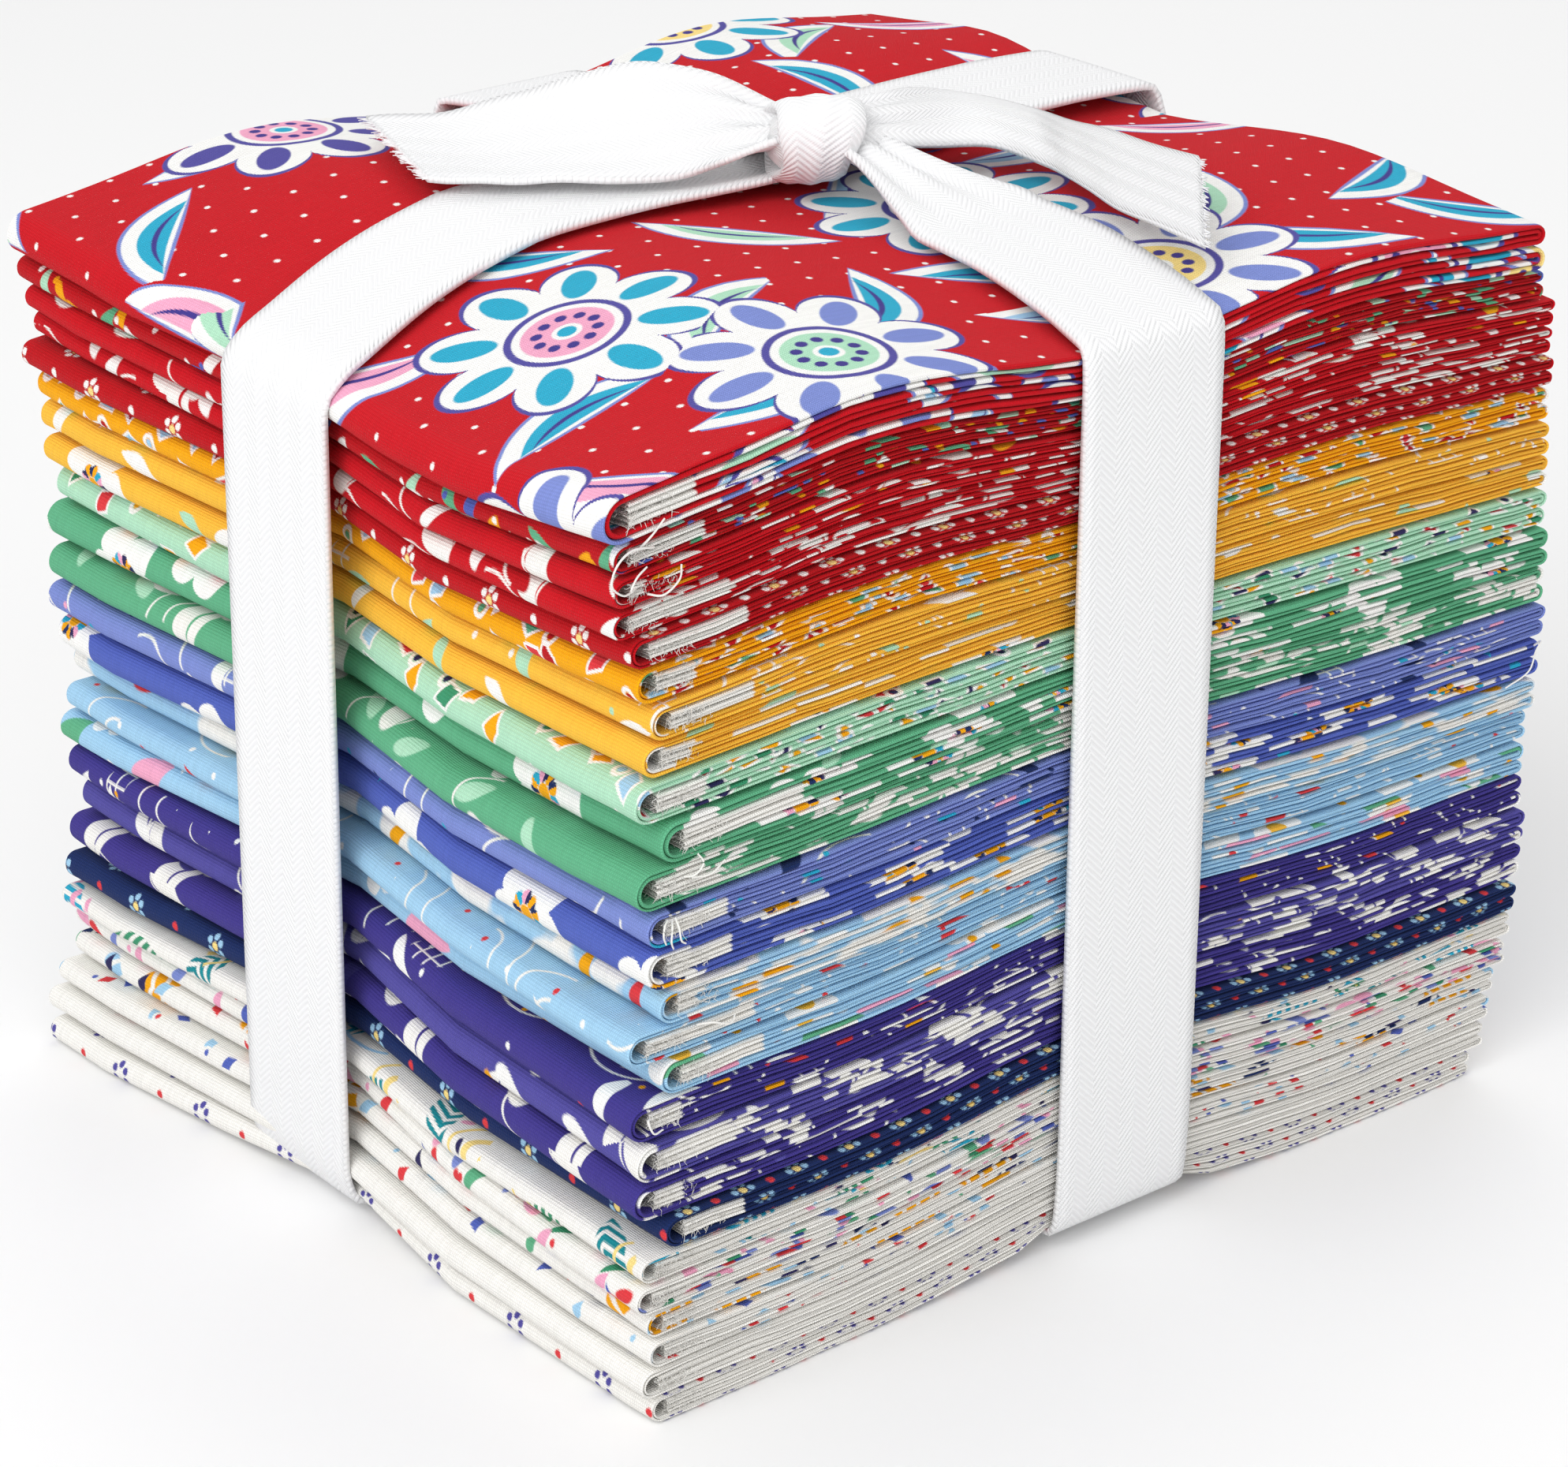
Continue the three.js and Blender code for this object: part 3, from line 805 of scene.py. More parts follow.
class Packet:
    """Where one folded cloth of the frame lies."""

    def __init__(self, node, lowest):
        solid = solid_of(node)
        self.lowest = lowest
        self.low = np.array(
            [[met(solid, (x, y, -OUTSIDE), (0, 0, 1)).z for y in STATIONS_Y] for x in STATIONS_X]
        )
        self.high = np.array(
            [[met(solid, (x, y, OUTSIDE), (0, 0, -1)).z for y in STATIONS_Y] for x in STATIONS_X]
        )
        if lowest:
            lifted = tape_lift(np.array(STATIONS_X)[:, None], np.array(STATIONS_Y)[None, :])
            self.low = np.maximum(self.low - lifted, 0.0)
        self.height = float((self.high - self.low).mean())
        end, side = 64.0, 57.0  # just inside the packet's edges
        self.left = np.array([self.edge(solid, (-end, y), (1, 0, 0)) for y in STATIONS_Y])
        self.right = -np.array([self.edge(solid, (end, y), (-1, 0, 0)) for y in STATIONS_Y])
        self.front = np.array([self.edge(solid, (x, -side), (0, 1, 0)) for x in STATIONS_X])
        self.back = -np.array([self.edge(solid, (x, side), (0, -1, 0)) for x in STATIONS_X])

    def edge(self, solid, place, inwards):
        """How far out the packet reaches beside a place near its edge."""
        away = -OUTSIDE * Vector(inwards)
        starts = [
            Vector((*place, self.level(*place, share))) + away
            for share in (0.1, 0.25, 0.4, 0.5, 0.6, 0.75, 0.9)
        ]
        return edge_met(solid, starts, inwards)

    def level(self, x, y, share):
        """The height of a place that is a share of the way up through the packet."""
        low, high = self.faces(np.array([x]), np.array([y]))
        return float(low[0] + share * (high[0] - low[0]))

    def faces(self, x, y):
        """The heights of the underside and the top."""
        across = weights(STATIONS_X, x)
        along = weights(STATIONS_Y, y)
        low = np.einsum("pi,ij,pj->p", across, self.low, along)
        high = np.einsum("pi,ij,pj->p", across, self.high, along)
        if self.lowest:
            low = np.maximum(low, 0.0) + tape_lift(np.ravel(x), np.ravel(y))
        return low.reshape(np.shape(x)), high.reshape(np.shape(x))

    def side(self, edge, knots, at):
        """Where an edge lies at each place along it."""
        return (weights(knots, at) @ edge).reshape(np.shape(at))


# Folding a cloth


def run(share_from, share_to, outer, inner, count):
    """A straight run of the strip: shares of its length, no turn, two levels."""
    shares = np.linspace(share_from, share_to, count)
    return [(share, 0.0, 0.0, outer, inner, 0.0, 0.0) for share in shares]


def bend(share, level, outer, inner, start, count):
    """Half a turn of the strip round a middle at that level."""
    path = []
    for angle in start + math.pi * np.arange(1, count) / count:
        out, up = math.cos(angle), math.sin(angle)
        path.append((share, outer * out, inner * out, level, level, outer * up, inner * up))
    return path


def strip_path(height, step):
    """The strip's way through the packet, as the frame's section goes."""
    strip = (height - (STRIPS - 1) * STRIP_GAP) / STRIPS
    pitch = strip + STRIP_GAP
    nose = height / 2
    bulge = strip + STRIP_GAP / 2
    count = max(6, round(CLOTH_LENGTH / STRIPS / step))
    quarter = math.pi / 2
    path = run(0, 1, 2 * pitch, 2 * pitch + strip, count)
    path += bend(1, height - bulge, bulge, STRIP_GAP / 2, -quarter, 7)
    path += run(1, 0, height, height - strip, count)
    path += bend(0, nose, nose, nose - strip, quarter, 16)
    path += run(0, 1, 0, strip, count)
    path += bend(1, bulge, bulge, STRIP_GAP / 2, -quarter, 7)
    path += run(1, 0, pitch + strip, pitch, count)
    return np.array(path), nose, bulge


FRONT_PLACES = (0.04, 0.46, 0.54, 0.96)  # where the layers lie in the strip at its front edge
BACK_PLACES = (0.13, 0.26, 0.74, 0.87)  # and at its back edge


def layer_profile(fine):
    """The cloth's width through the strip: share from the front to the back, part of a fold's
    puff, place in the strip, and which fold it belongs to."""
    coarse_shares = np.array([0.0, 0.012, 0.035, 0.1, 0.3, 0.5, 0.7, 0.9, 0.965, 0.988, 1.0])
    fine_shares = np.concatenate(([0.0, 0.006, 0.015], np.linspace(0.03, 0.97, 30), [0.985, 0.994, 1.0]))
    fold_steps = 6
    points = []
    for layer in range(LAYERS):
        shares = fine_shares if fine and layer == LAYERS - 1 else coarse_shares
        backwards = layer % 2 == 0
        for share in shares[::-1] if backwards else shares:
            place = FRONT_PLACES[layer] + share * (BACK_PLACES[layer] - FRONT_PLACES[layer])
            loose = 1.0 - share if layer in (1, 2) else 0.0
            points.append((share, 0.0, place, layer, loose))
        if layer == LAYERS - 1:
            break
        places = FRONT_PLACES if backwards else BACK_PLACES
        middle = (places[layer] + places[layer + 1]) / 2
        half = (places[layer + 1] - places[layer]) / 2
        for k in range(1, fold_steps):
            angle = math.pi * k / fold_steps
            puff = -math.sin(angle) if backwards else math.sin(angle)
            place = middle - half * math.cos(angle)
            loose = (1 - math.cos(angle)) / 2 if layer == 0 else (1 + math.cos(angle)) / 2
            points.append((0.0 if backwards else 1.0, puff, place, layer, loose if backwards else 0.0))
    return np.array(points)


def folded_cloth(packet, seed, settings, step, fine):
    """The grid of points of one folded cloth, and its places on the flat cloth."""
    path, nose, bulge = strip_path(packet.height, step)
    profile = layer_profile(fine)
    share, dx_outer, dx_inner, outer, inner, rise_outer, rise_inner = (c[None, :] for c in path.T)
    back_share, puff, place, layer, loose = (c[:, None] for c in profile.T)

    middle = np.stack([(dx_outer + dx_inner)[0] / 2, (outer + inner + rise_outer + rise_inner)[0] / 2], 1)
    middle[:, 0] += share[0] * CLOTH_LENGTH / STRIPS
    lengths = np.hypot(*np.diff(middle, axis=0).T)
    along = np.concatenate(([0.0], np.cumsum(lengths)))
    along *= CLOTH_LENGTH / along[-1]

    layer_waver, side_waver, level_waver = 0.15, 0.35, 0.5
    place = place + layer_waver * loose * ripple(along, seed + 15, (71.0, 31.0, 17.0))[None, :]

    depth = -HALF_DEPTH + back_share * 2 * HALF_DEPTH
    left = packet.side(packet.left, STATIONS_Y, depth)
    left = left + side_waver * ripple(depth, seed + 7, (83.0, 37.0, 17.0))
    right = packet.side(packet.right, STATIONS_Y, depth)
    begin = left + nose
    end = right - bulge
    dx = dx_inner + place * (dx_outer - dx_inner)
    x = begin + share * (end - begin) + dx
    flap = np.zeros(len(along))
    flap[0] = flap[-1] = FLAP_STEP
    x = x + flap[None, :]

    waver = settings.edge_waver
    front = packet.side(packet.front, STATIONS_X, x)
    back = packet.side(packet.back, STATIONS_X, x)
    fold_a = ripple(along, seed + 11)[None, :]
    fold_b = ripple(along, seed + 12)[None, :]
    fold = np.where(layer < 1.5, fold_a, fold_b)
    puff_size = settings.fold_puff
    front = front + puff_size + waver * (0.5 + 0.5 * fold)
    back = back - puff_size - waver * (0.5 + 0.5 * ripple(along, seed + 13)[None, :])
    y = front + back_share * (back - front) + puff * puff_size

    low, high = packet.faces(x, y)
    level = inner + rise_inner + place * (outer + rise_outer - inner - rise_inner)
    share_up = level / packet.height
    waver_up = level_waver * ripple(x, seed + 17, (47.0, 21.0, 9.0)) * share_up * (1 - share_up) * 2
    z = low + (share_up + waver_up / packet.height) * (high - low)

    widths = np.concatenate(([0.0], np.cumsum(np.hypot(
        np.diff(depth[:, 0] + puff[:, 0] * puff_size), np.diff(place[:, 0]) * packet.height / STRIPS))))
    widths *= CLOTH_WIDTH / widths[-1]
    points = np.stack([x, y, z], -1)
    cloth = np.stack(np.broadcast_arrays(along[None, :], widths[:, None], 0.0), -1)
    return points, cloth


# Fuzz at the selvages, and loose threads


FUZZ_DEPTH = 2.5  # how near the front or the back edge the fibres start
FUZZ_SPREAD = 5.5  # and how far from the cloth's end


def selvage_fuzz(points, seed, count=120):
    """Short white fibres at the cloth's two ends, near the front and the back edge."""
    random = np.random.default_rng(seed)
    strands = []
    for k in range(count):
        end = 0 if k % 2 else -1
        column = points[:, end]
        at_front = k % 5 != 0
        depth = column[:, 1] - column[:, 1].min()
        if not at_front:
            depth = column[:, 1].max() - column[:, 1]
        near = np.flatnonzero(depth < FUZZ_DEPTH)
        start = column[random.choice(near)]
        outward = -1.0 if at_front else 1.0
        reach = random.uniform(0.3, 1.15)
        aside = random.normal(-0.5, 0.6)
        lean = np.array([aside, outward * random.uniform(0.1, 1.0), random.normal(0, 0.5)])
        lean *= reach / np.linalg.norm(lean)
        start = start + np.array([FUZZ_SPREAD * random.uniform() ** 1.6, 0, 0])
        sag = np.array([random.normal(0, 0.2), 0, random.normal(0, 0.25)])
        route = [start, start + lean * 0.5 + sag, start + lean]
        strands.append(strand(route, FIBRE_RADIUS, FIBRE_TIP, 3))
    return strands


# Loose threads, from the packet's corner: along X from the left or right side, along Y from the
# front, and up from the middle of its height
LOOSE_THREADS = {
    "red_sprigs": [
        ("left", [
            (5.0, 0.2, 0.6), (1.5, -0.9, 1.4), (-0.9, -1.6, 0.6), (-1.5, -1.5, -1.4), (0.2, -1.0, -3.0),
            (2.0, -0.2, -3.3),
        ]),
        ("left", [(3.2, 0.1, 1.0), (3.9, -0.9, 2.4), (5.6, -0.8, 3.8)]),
    ],
    "red_petals": [
        ("left", [(2.6, 0.2, 0.4), (1.4, -0.9, 0.9), (2.0, -1.1, 2.2), (3.6, -0.6, 2.8)]),
        ("left", [(4.2, 0.2, -0.5), (5.5, -0.8, -0.6), (7.4, -0.9, 0.6), (8.2, -0.2, 1.8)]),
    ],
    "green_petals": [
        ("left", [(6.5, 0.1, 0.6), (7.4, -0.7, 0.9), (8.4, -0.8, 2.0), (8.0, -0.3, 3.0)]),
        ("left", [(7.5, 0.1, 0.2), (9.4, -0.7, 0.4), (11.4, -0.5, 1.3)]),
    ],
    "periwinkle_arcs": [
        ("left", [(3.0, 0.0, 0.9), (2.4, -0.8, 0.6), (2.2, -0.9, -0.9), (2.9, -0.3, -2.1)]),
        ("left", [(3.4, 0.0, 1.2), (3.2, -0.9, 0.4), (3.4, -1.0, -1.0), (4.4, -0.4, -1.9)]),
        ("left", [(2.4, 0.0, 1.2), (1.5, -0.7, 1.0), (1.2, -0.9, 0.0), (1.8, -0.5, -1.2)]),
    ],
    "blue_flowers": [
        ("right", [
            (-1.0, 0.2, 1.5), (-1.4, -1.2, 2.6), (-2.8, -1.7, 1.8), (-3.4, -1.3, -0.8), (-6.4, -0.5, -2.4),
        ]),
    ],
    "sky_arcs": [("left", [(9.0, 0.2, 0.8), (10.4, -0.8, 1.0), (12.6, -0.9, 0.2), (13.8, -0.2, 0.6)])],
    "purple_arcs": [("left", [(2.4, 0.1, 0.6), (1.4, -0.8, 0.9), (2.0, -1.0, -0.6), (3.6, -0.4, -0.9)])],
}


def loose_threads(name, packet):
    """The loose threads of one packet."""
    strands = []
    for side, route in LOOSE_THREADS.get(name, ()):
        edges = packet.left if side == "left" else packet.right
        x = packet.side(edges, STATIONS_Y, np.array([-HALF_DEPTH]))[0]
        y = packet.side(packet.front, STATIONS_X, np.array([x]))[0]
        corner = np.array([x, y, packet.level(x, y, 0.5)])
        route = corner + np.array(route)
        even = np.linspace(0, len(route) - 1, 6 * len(route))
        smooth = weights(np.arange(len(route)), even) @ route
        strands.append(strand(smooth, THREAD_RADIUS, THREAD_TIP, 6))
    return strands


# Meshes


def grid_faces(rows, columns, closed=False, round_across=False):
    """Quads of a grid of points, closed on itself along or across when asked."""
    last_row = rows if closed else rows - 1
    last_column = columns if round_across else columns - 1
    r, c = np.meshgrid(np.arange(last_row), np.arange(last_column), indexing="ij")
    after = (r + 1) % rows
    beside = (c + 1) % columns
    quads = np.stack(
        [r * columns + c, r * columns + beside, after * columns + beside, after * columns + c], -1
    )
    return quads.reshape(-1, 4)


def built(name, parts_list, material):
    """One mesh object from lists of points, quads and places on the flat cloth."""
    points, faces, cloths, count = [], [], [], 0
    for part_points, part_faces, part_cloth in parts_list:
        points.append(part_points.reshape(-1, 3))
        faces.append(part_faces + count)
        cloths.append(part_cloth.reshape(-1, 3))
        count += len(points[-1])
    mesh = bpy.data.meshes.new(name)
    mesh.from_pydata((np.concatenate(points) * MM).tolist(), [], np.concatenate(faces).tolist())
    attribute = mesh.attributes.new("cloth", "FLOAT_VECTOR", "POINT")
    attribute.data.foreach_set("vector", np.concatenate(cloths).astype(np.float32).ravel())
    mesh.polygons.foreach_set("use_smooth", np.ones(len(mesh.polygons), bool))
    mesh.materials.append(material)
    mesh.update()
    piece = bpy.data.objects.new(name, mesh)
    bpy.context.scene.collection.objects.link(piece)
    return piece


def normals_of(grid, closed=False):
    """Unit normals of a grid of points."""
    if closed:
        along = np.roll(grid, -1, 0) - np.roll(grid, 1, 0)
    else:
        along = np.gradient(grid, axis=0)
    across = np.gradient(grid, axis=1)
    normal = np.cross(along, across)
    return normal / np.maximum(np.linalg.norm(normal, axis=-1, keepdims=True), 1e-9)


def thickened(grid, thick, closed=False):
    """A band of that thickness on a grid of middle points, with its places on the flat tape."""
    normal = normals_of(grid, closed) * thick / 2
    upper = grid + normal
    lower = grid - normal
    ring_points = np.concatenate([upper, lower[:, ::-1]], axis=1)
    rows, columns = ring_points.shape[:2]
    middle = grid[:, grid.shape[1] // 2]
    steps = np.linalg.norm(np.diff(middle, axis=0), axis=-1)
    along = np.concatenate(([0.0], np.cumsum(steps)))
    flat = np.linspace(0.0, TAPE_WIDTH, grid.shape[1])
    across = np.concatenate([flat, flat[::-1]])
    cloth = np.stack(np.broadcast_arrays(along[:, None], across[None, :], 0.0), -1)
    faces = grid_faces(rows, columns, closed, round_across=True)
    if not closed:
        caps = []
        half = grid.shape[1]
        for row, flip in ((0, False), (rows - 1, True)):
            base = row * columns
            for k in range(half - 1):
                quad = [base + k, base + 2 * half - 1 - k, base + 2 * half - 2 - k, base + k + 1]
                caps.append(quad[::-1] if flip else quad)
        faces = np.concatenate([faces, np.array(caps)])
    return ring_points, faces, cloth


# The tape


def hull(points):
    """The outer corners of flat points, in turn."""
    order = points[np.lexsort((points[:, 1], points[:, 0]))]

    def half(items):
        chain = []
        for p in items:
            while len(chain) > 1:
                a, b = chain[-2], chain[-1]
                if (b[0] - a[0]) * (p[1] - a[1]) - (b[1] - a[1]) * (p[0] - a[0]) > 0:
                    break
                chain.pop()
            chain.append(p)
        return chain[:-1]

    return np.array(half(order) + half(order[::-1]))


def taut_line(points, distance):
    """The taut closed line round flat points, that far outside them, in even steps."""
    corners = hull(points)
    before = corners - np.roll(corners, 1, 0)
    after = np.roll(corners, -1, 0) - corners
    angle_before = np.arctan2(before[:, 1], before[:, 0]) - math.pi / 2
    turn = np.arctan2(after[:, 1], after[:, 0]) - math.pi / 2 - angle_before
    turn = (turn + math.pi) % math.tau - math.pi
    line = []
    turn_step = 0.2
    for corner, start, swing in zip(corners, angle_before, turn):
        turns = max(1, math.ceil(abs(swing) / turn_step))
        for k in range(turns + 1):
            angle = start + swing * k / turns
            line.append(corner + distance * np.array([math.cos(angle), math.sin(angle)]))
    line = np.array(line + line[:1])
    length = np.concatenate(([0.0], np.cumsum(np.hypot(*np.diff(line, axis=0).T))))
    count = round(length[-1] / TAPE_STEP)
    even = np.linspace(0.0, length[-1], count, endpoint=False)
    lowest = np.argmin(line[:-1, 1] + 0.001 * np.abs(line[:-1, 0]))
    even = (even + length[lowest]) % length[-1]
    return np.stack([np.interp(even, length, line[:, k]) for k in range(2)], -1)


def smooth_step(value, low, high):
    """From 0 at the low value to 1 at the high one, with a soft start and end."""
    t = np.clip((value - low) / (high - low), 0.0, 1.0)
    return t * t * (3 - 2 * t)


def cross_tape_x(y, z, top):
    """The tape along Y is straight below and on the sides, and bows on the top."""
    reach = np.where(y < CROSS_TAPE_BOW_AT, HALF_DEPTH + CROSS_TAPE_BOW_AT, HALF_DEPTH - CROSS_TAPE_BOW_AT)
    share = np.clip(1 - ((y - CROSS_TAPE_BOW_AT) / reach) ** 2, 0.0, 1.0)
    return CROSS_TAPE_X + CROSS_TAPE_BOW * share * smooth_step(z, top - 8.0, top - 1.0)


ACROSS = np.linspace(-1.0, 1.0, 15)  # from one edge of the tape to the other


def long_tape_y(x, z, height):
    """The tape along X is straight below the bundle and askew on its top."""
    place = np.clip(x, LONG_TAPE_PLACES[0], LONG_TAPE_PLACES[-1])
    on_top = weights(LONG_TAPE_PLACES, place) @ np.array(LONG_TAPE_MIDDLES)
    return LONG_TAPE_Y + (on_top - LONG_TAPE_Y) * np.clip(z / height, 0.0, 1.0)


def long_loop(points, thick):
    """The tape along X, round the bundle."""
    height = points[:, 2].max() - 2.0
    offset = points[:, 1] - long_tape_y(points[:, 0], points[:, 2], height)
    below = points[np.abs(offset) < TAPE_WIDTH / 2 + TAPE_MARGIN]
    line = taut_line(below[:, [0, 2]], TAPE_GAP + thick / 2)
    beside_knot = np.abs(line[:, 0] - KNOT.x) < TAPE_WIDTH
    top = line[beside_knot, 1].max()
    on_top = smooth_step(line[:, 1], top - 10.0, top - 4.0)
    gather = on_top * np.exp(-(((line[:, 0] - KNOT.x) / 13.0) ** 2))
    half = TAPE_WIDTH / 2 * (1 - 0.25 * gather)
    middle = long_tape_y(line[:, 0], line[:, 1], height) - 4.5 * gather
    x = np.broadcast_to(line[:, :1], (len(line), len(ACROSS)))
    y = middle[:, None] + half[:, None] * ACROSS[None, :]
    z = line[:, 1:] + gather[:, None] * 0.5 * np.cos(ACROSS[None, :] * 7.0)
    uneven = ripple(np.arange(len(line)) * TAPE_STEP, 5, (71.0, 33.0, 19.0))
    curl = 0.16 * uneven[:, None] * ACROSS[None, :] ** 2
    return np.stack([x, y, z + curl * on_top[:, None]], -1), top


def cross_loop(points, thick, top):
    """The tape along Y, gathered where it leaves the knot."""
    offset = points[:, 0] - cross_tape_x(points[:, 1], points[:, 2], top)
    below = points[np.abs(offset) < TAPE_WIDTH / 2 + TAPE_MARGIN]
    line = taut_line(below[:, 1:], TAPE_GAP + thick / 2)
    y, z = line[:, 0], line[:, 1]
    on_top = smooth_step(z, z.max() - 10.0, z.max() - 4.0)
    away = y - KNOT.y
    reach = np.where(away < 0, 26.0, 20.0)
    gather = on_top * (1 - smooth_step(np.abs(away), 1.0, reach))
    half = TAPE_WIDTH / 2 * (1 - 0.68 * gather)
    middle = cross_tape_x(y, z, top) * (1 - gather) + (KNOT.x + 2.0 + 0.25 * np.maximum(-away, 0)) * gather
    pleats = 1.1 * gather[:, None] * np.cos(ACROSS[None, :] * 8.0 + 0.6)
    lift = gather[:, None] ** 2 * 3.0 + gather[:, None] * 0.9
    x_grid = middle[:, None] + half[:, None] * ACROSS[None, :]
    y_grid = np.broadcast_to(y[:, None], x_grid.shape)
    z_grid = z[:, None] + pleats + lift + thick * smooth_step(gather[:, None], 0.0, 0.15)
    return np.stack([x_grid, y_grid, z_grid], -1)


# The free tails, from the knot outwards: the two edges of the tape at each place, with heights
# over the tape's top at the crossing
LEFT_TAIL = (
    ((-1.0, -2.5, 4.6), (3.0, 3.5, 6.4)),
    ((-7.0, 1.0, 2.8), (-1.0, 11.0, 9.6)),
    ((-12.0, 2.2, 2.0), (-6.0, 17.5, 10.6)),
    ((-19.0, 5.7, 1.8), (-12.0, 23.4, 8.8)),
    ((-25.6, 10.6, 1.8), (-17.0, 28.5, 6.6)),
    ((-31.3, 15.0, 1.8), (-23.6, 33.6, 4.2)),
    ((-35.4, 20.5, 1.8), (-29.5, 41.5, 2.6)),
)
RIGHT_TAIL = (
    ((3.0, -4.5, 4.6), (7.0, 2.0, 6.2)),
    ((11.0, -8.2, 4.0), (16.0, 1.2, 6.6)),
    ((20.7, -12.0, 2.6), (27.6, 3.6, 4.4)),
    ((22.1, -20.3, 2.0), (33.6, -3.8, 3.0)),
    ((20.0, -29.6, 2.0), (32.2, -13.4, 3.6)),
    ((17.5, -39.7, 2.0), (30.6, -24.4, 4.6)),
    ((14.9, -54.6, 2.2), (28.2, -39.6, 6.2)),
)


def tail_grid(stations, base, steps, curl, seed):
    """A free tail as a grid, pleated where it leaves the knot."""
    edges = np.array(stations)
    edges[:, :, 0] += 0.5
    edges[:, :, 2] += base
    even = np.linspace(0, len(edges) - 1, steps)
    blend = weights(np.arange(len(edges)), even)
    near = blend @ edges[:, 0]
    far = blend @ edges[:, 1]
    share = (ACROSS + 1) / 2
    grid = near[:, None] + share[None, :, None] * (far - near)[:, None]
    normal = normals_of(grid)
    out = even / even[-1]
    pleat = np.exp(-((out / 0.2) ** 2))[:, None] * np.cos(ACROSS[None, :] * 9.0)
    bow = curl * np.sin(math.pi * share)[None, :] * np.sin(math.pi * out)[:, None]
    waver = 0.35 * ripple(out * 80, seed, (47.0, 23.0, 15.0))[:, None] * ACROSS[None, :]
    return grid + normal * (0.9 * pleat + bow + waver)[:, :, None]


def frayed_end(grid, seed, count=70, reach=1.5):
    """Short threads that stand out of a tape's cut end."""
    random = np.random.default_rng(seed)
    edge = grid[-1]
    outward = grid[-1] - grid[-3]
    outward /= np.linalg.norm(outward, axis=-1, keepdims=True)
    strands = []
    for _ in range(count):
        at = random.uniform(0, len(edge) - 1.001)
        k = int(at)
        start = edge[k] + (at - k) * (edge[k + 1] - edge[k])
        sideways = (edge[k + 1] - edge[k]) / np.linalg.norm(edge[k + 1] - edge[k])
        lean = random.normal(0, 0.35)
        tip = start + (outward[k] + sideways * lean) * reach * random.uniform(0.3, 1.0)
        tip = tip + np.array([0, 0, random.normal(0, 0.15)])
        strands.append(strand([start - outward[k] * 0.3, (start + tip) / 2, tip], 0.1, 0.05))
    return strands


def strand(route, radius, tip_radius, sides=4):
    """A thin round thread along a few points."""
    route = np.asarray(route, float)
    along = np.gradient(route, axis=0)
    along /= np.linalg.norm(along, axis=-1, keepdims=True)
    up = np.array([0.3, 0.2, 0.93])
    side = np.cross(along, up)
    side /= np.linalg.norm(side, axis=-1, keepdims=True)
    other = np.cross(along, side)
    angles = np.linspace(0, math.tau, sides, endpoint=False)
    sizes = np.linspace(radius, tip_radius, len(route))[:, None, None]
    rings = route[:, None] + sizes * (
        np.cos(angles)[None, :, None] * side[:, None] + np.sin(angles)[None, :, None] * other[:, None]
    )
    cloth = np.zeros_like(rings)
    return rings, grid_faces(len(route), sides, round_across=True), cloth


def spun(points, degrees):
    """Points turned about the upright axis."""
    turn = math.radians(degrees)
    sine, cosine = math.sin(turn), math.cos(turn)
    return points @ np.array([[cosine, -sine, 0], [sine, cosine, 0], [0, 0, 1]]).T


def knot_parts(base):
    """The knot: one gathered turn of the tape round a tight core."""
    middle = np.array([KNOT.x, KNOT.y, base + KNOT_RISE])
    rows, columns = 72, 33
    around = np.linspace(0, math.tau, rows, endpoint=False)
    across = np.linspace(0, math.pi, columns)
    a, b = np.meshgrid(around, across, indexing="ij")
    pleat = 1 + 0.07 * np.cos(a * 9 + np.cos(b) * 2.0) * np.sin(b)
    core = np.stack([
        5.6 * np.cos(b),
        4.9 * pleat * np.sin(b) * np.cos(a),
        4.3 * pleat * np.sin(b) * np.sin(a),
    ], -1)
    core = spun(core, -20.0) + middle
    core_cloth = np.stack([a * 6, b * 4, np.zeros_like(a)], -1)
    parts_list = [(core, grid_faces(rows, columns, closed=True), core_cloth)]

    rows, columns = 60, 40
    around = np.linspace(0, math.tau, rows, endpoint=False)
    tube = np.linspace(-math.pi, math.pi, columns, endpoint=False)
    a, t = np.meshgrid(around, tube, indexing="ij")
    ridges = 1 + 0.1 * np.cos(t * 9 + 0.8 * np.sin(a * 2 + 1.0)) * np.cos(t / 2) ** 2
    width = 4.9 + 0.7 * np.sin(a + 0.6) + 0.3 * np.sin(3 * a)
    radius = 4.3 + 1.3 * ridges * np.cos(t)
    wrap = np.stack([
        width * np.sin(t) + 0.7 * np.sin(a),
        radius * 1.04 * np.cos(a),
        radius * 0.9 * np.sin(a),
    ], -1)
    wrap = spun(wrap, -28.0) + middle
    wrap_cloth = np.stack([a * 5, t * 3.2, np.zeros_like(a)], -1)
    parts_list.append((wrap, grid_faces(rows, columns, closed=True, round_across=True), wrap_cloth))
    return parts_list


# Operators


class BUNDLE_OT_cottons(bpy.types.Operator):
    """Fold the 26 printed cottons and stack them"""

    bl_idname = "bundle.cottons"
    bl_label = "Fold the cottons"

    def execute(self, context):
        settings = context.scene.bundle_cotton
        for number, node in enumerate(ROW_NAMES):
            name = node[len("row_00_"):]
            top = number == 0
            lowest = number == len(ROW_NAMES) - 1
            step = TOP_STEP if top else CLOTH_STEP
            packet = Packet(node, lowest)
            points, cloth = folded_cloth(packet, 100 * number, settings, step, top)
            faces = grid_faces(*points.shape[:2])
            shells = [(points, faces, cloth)]
            shells += selvage_fuzz(points, number) + loose_threads(name, packet)
            piece = built(f"cotton_{node}", shells, cotton(name, number, settings))
            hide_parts(node)
            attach(piece, "root")
        return {"FINISHED"}


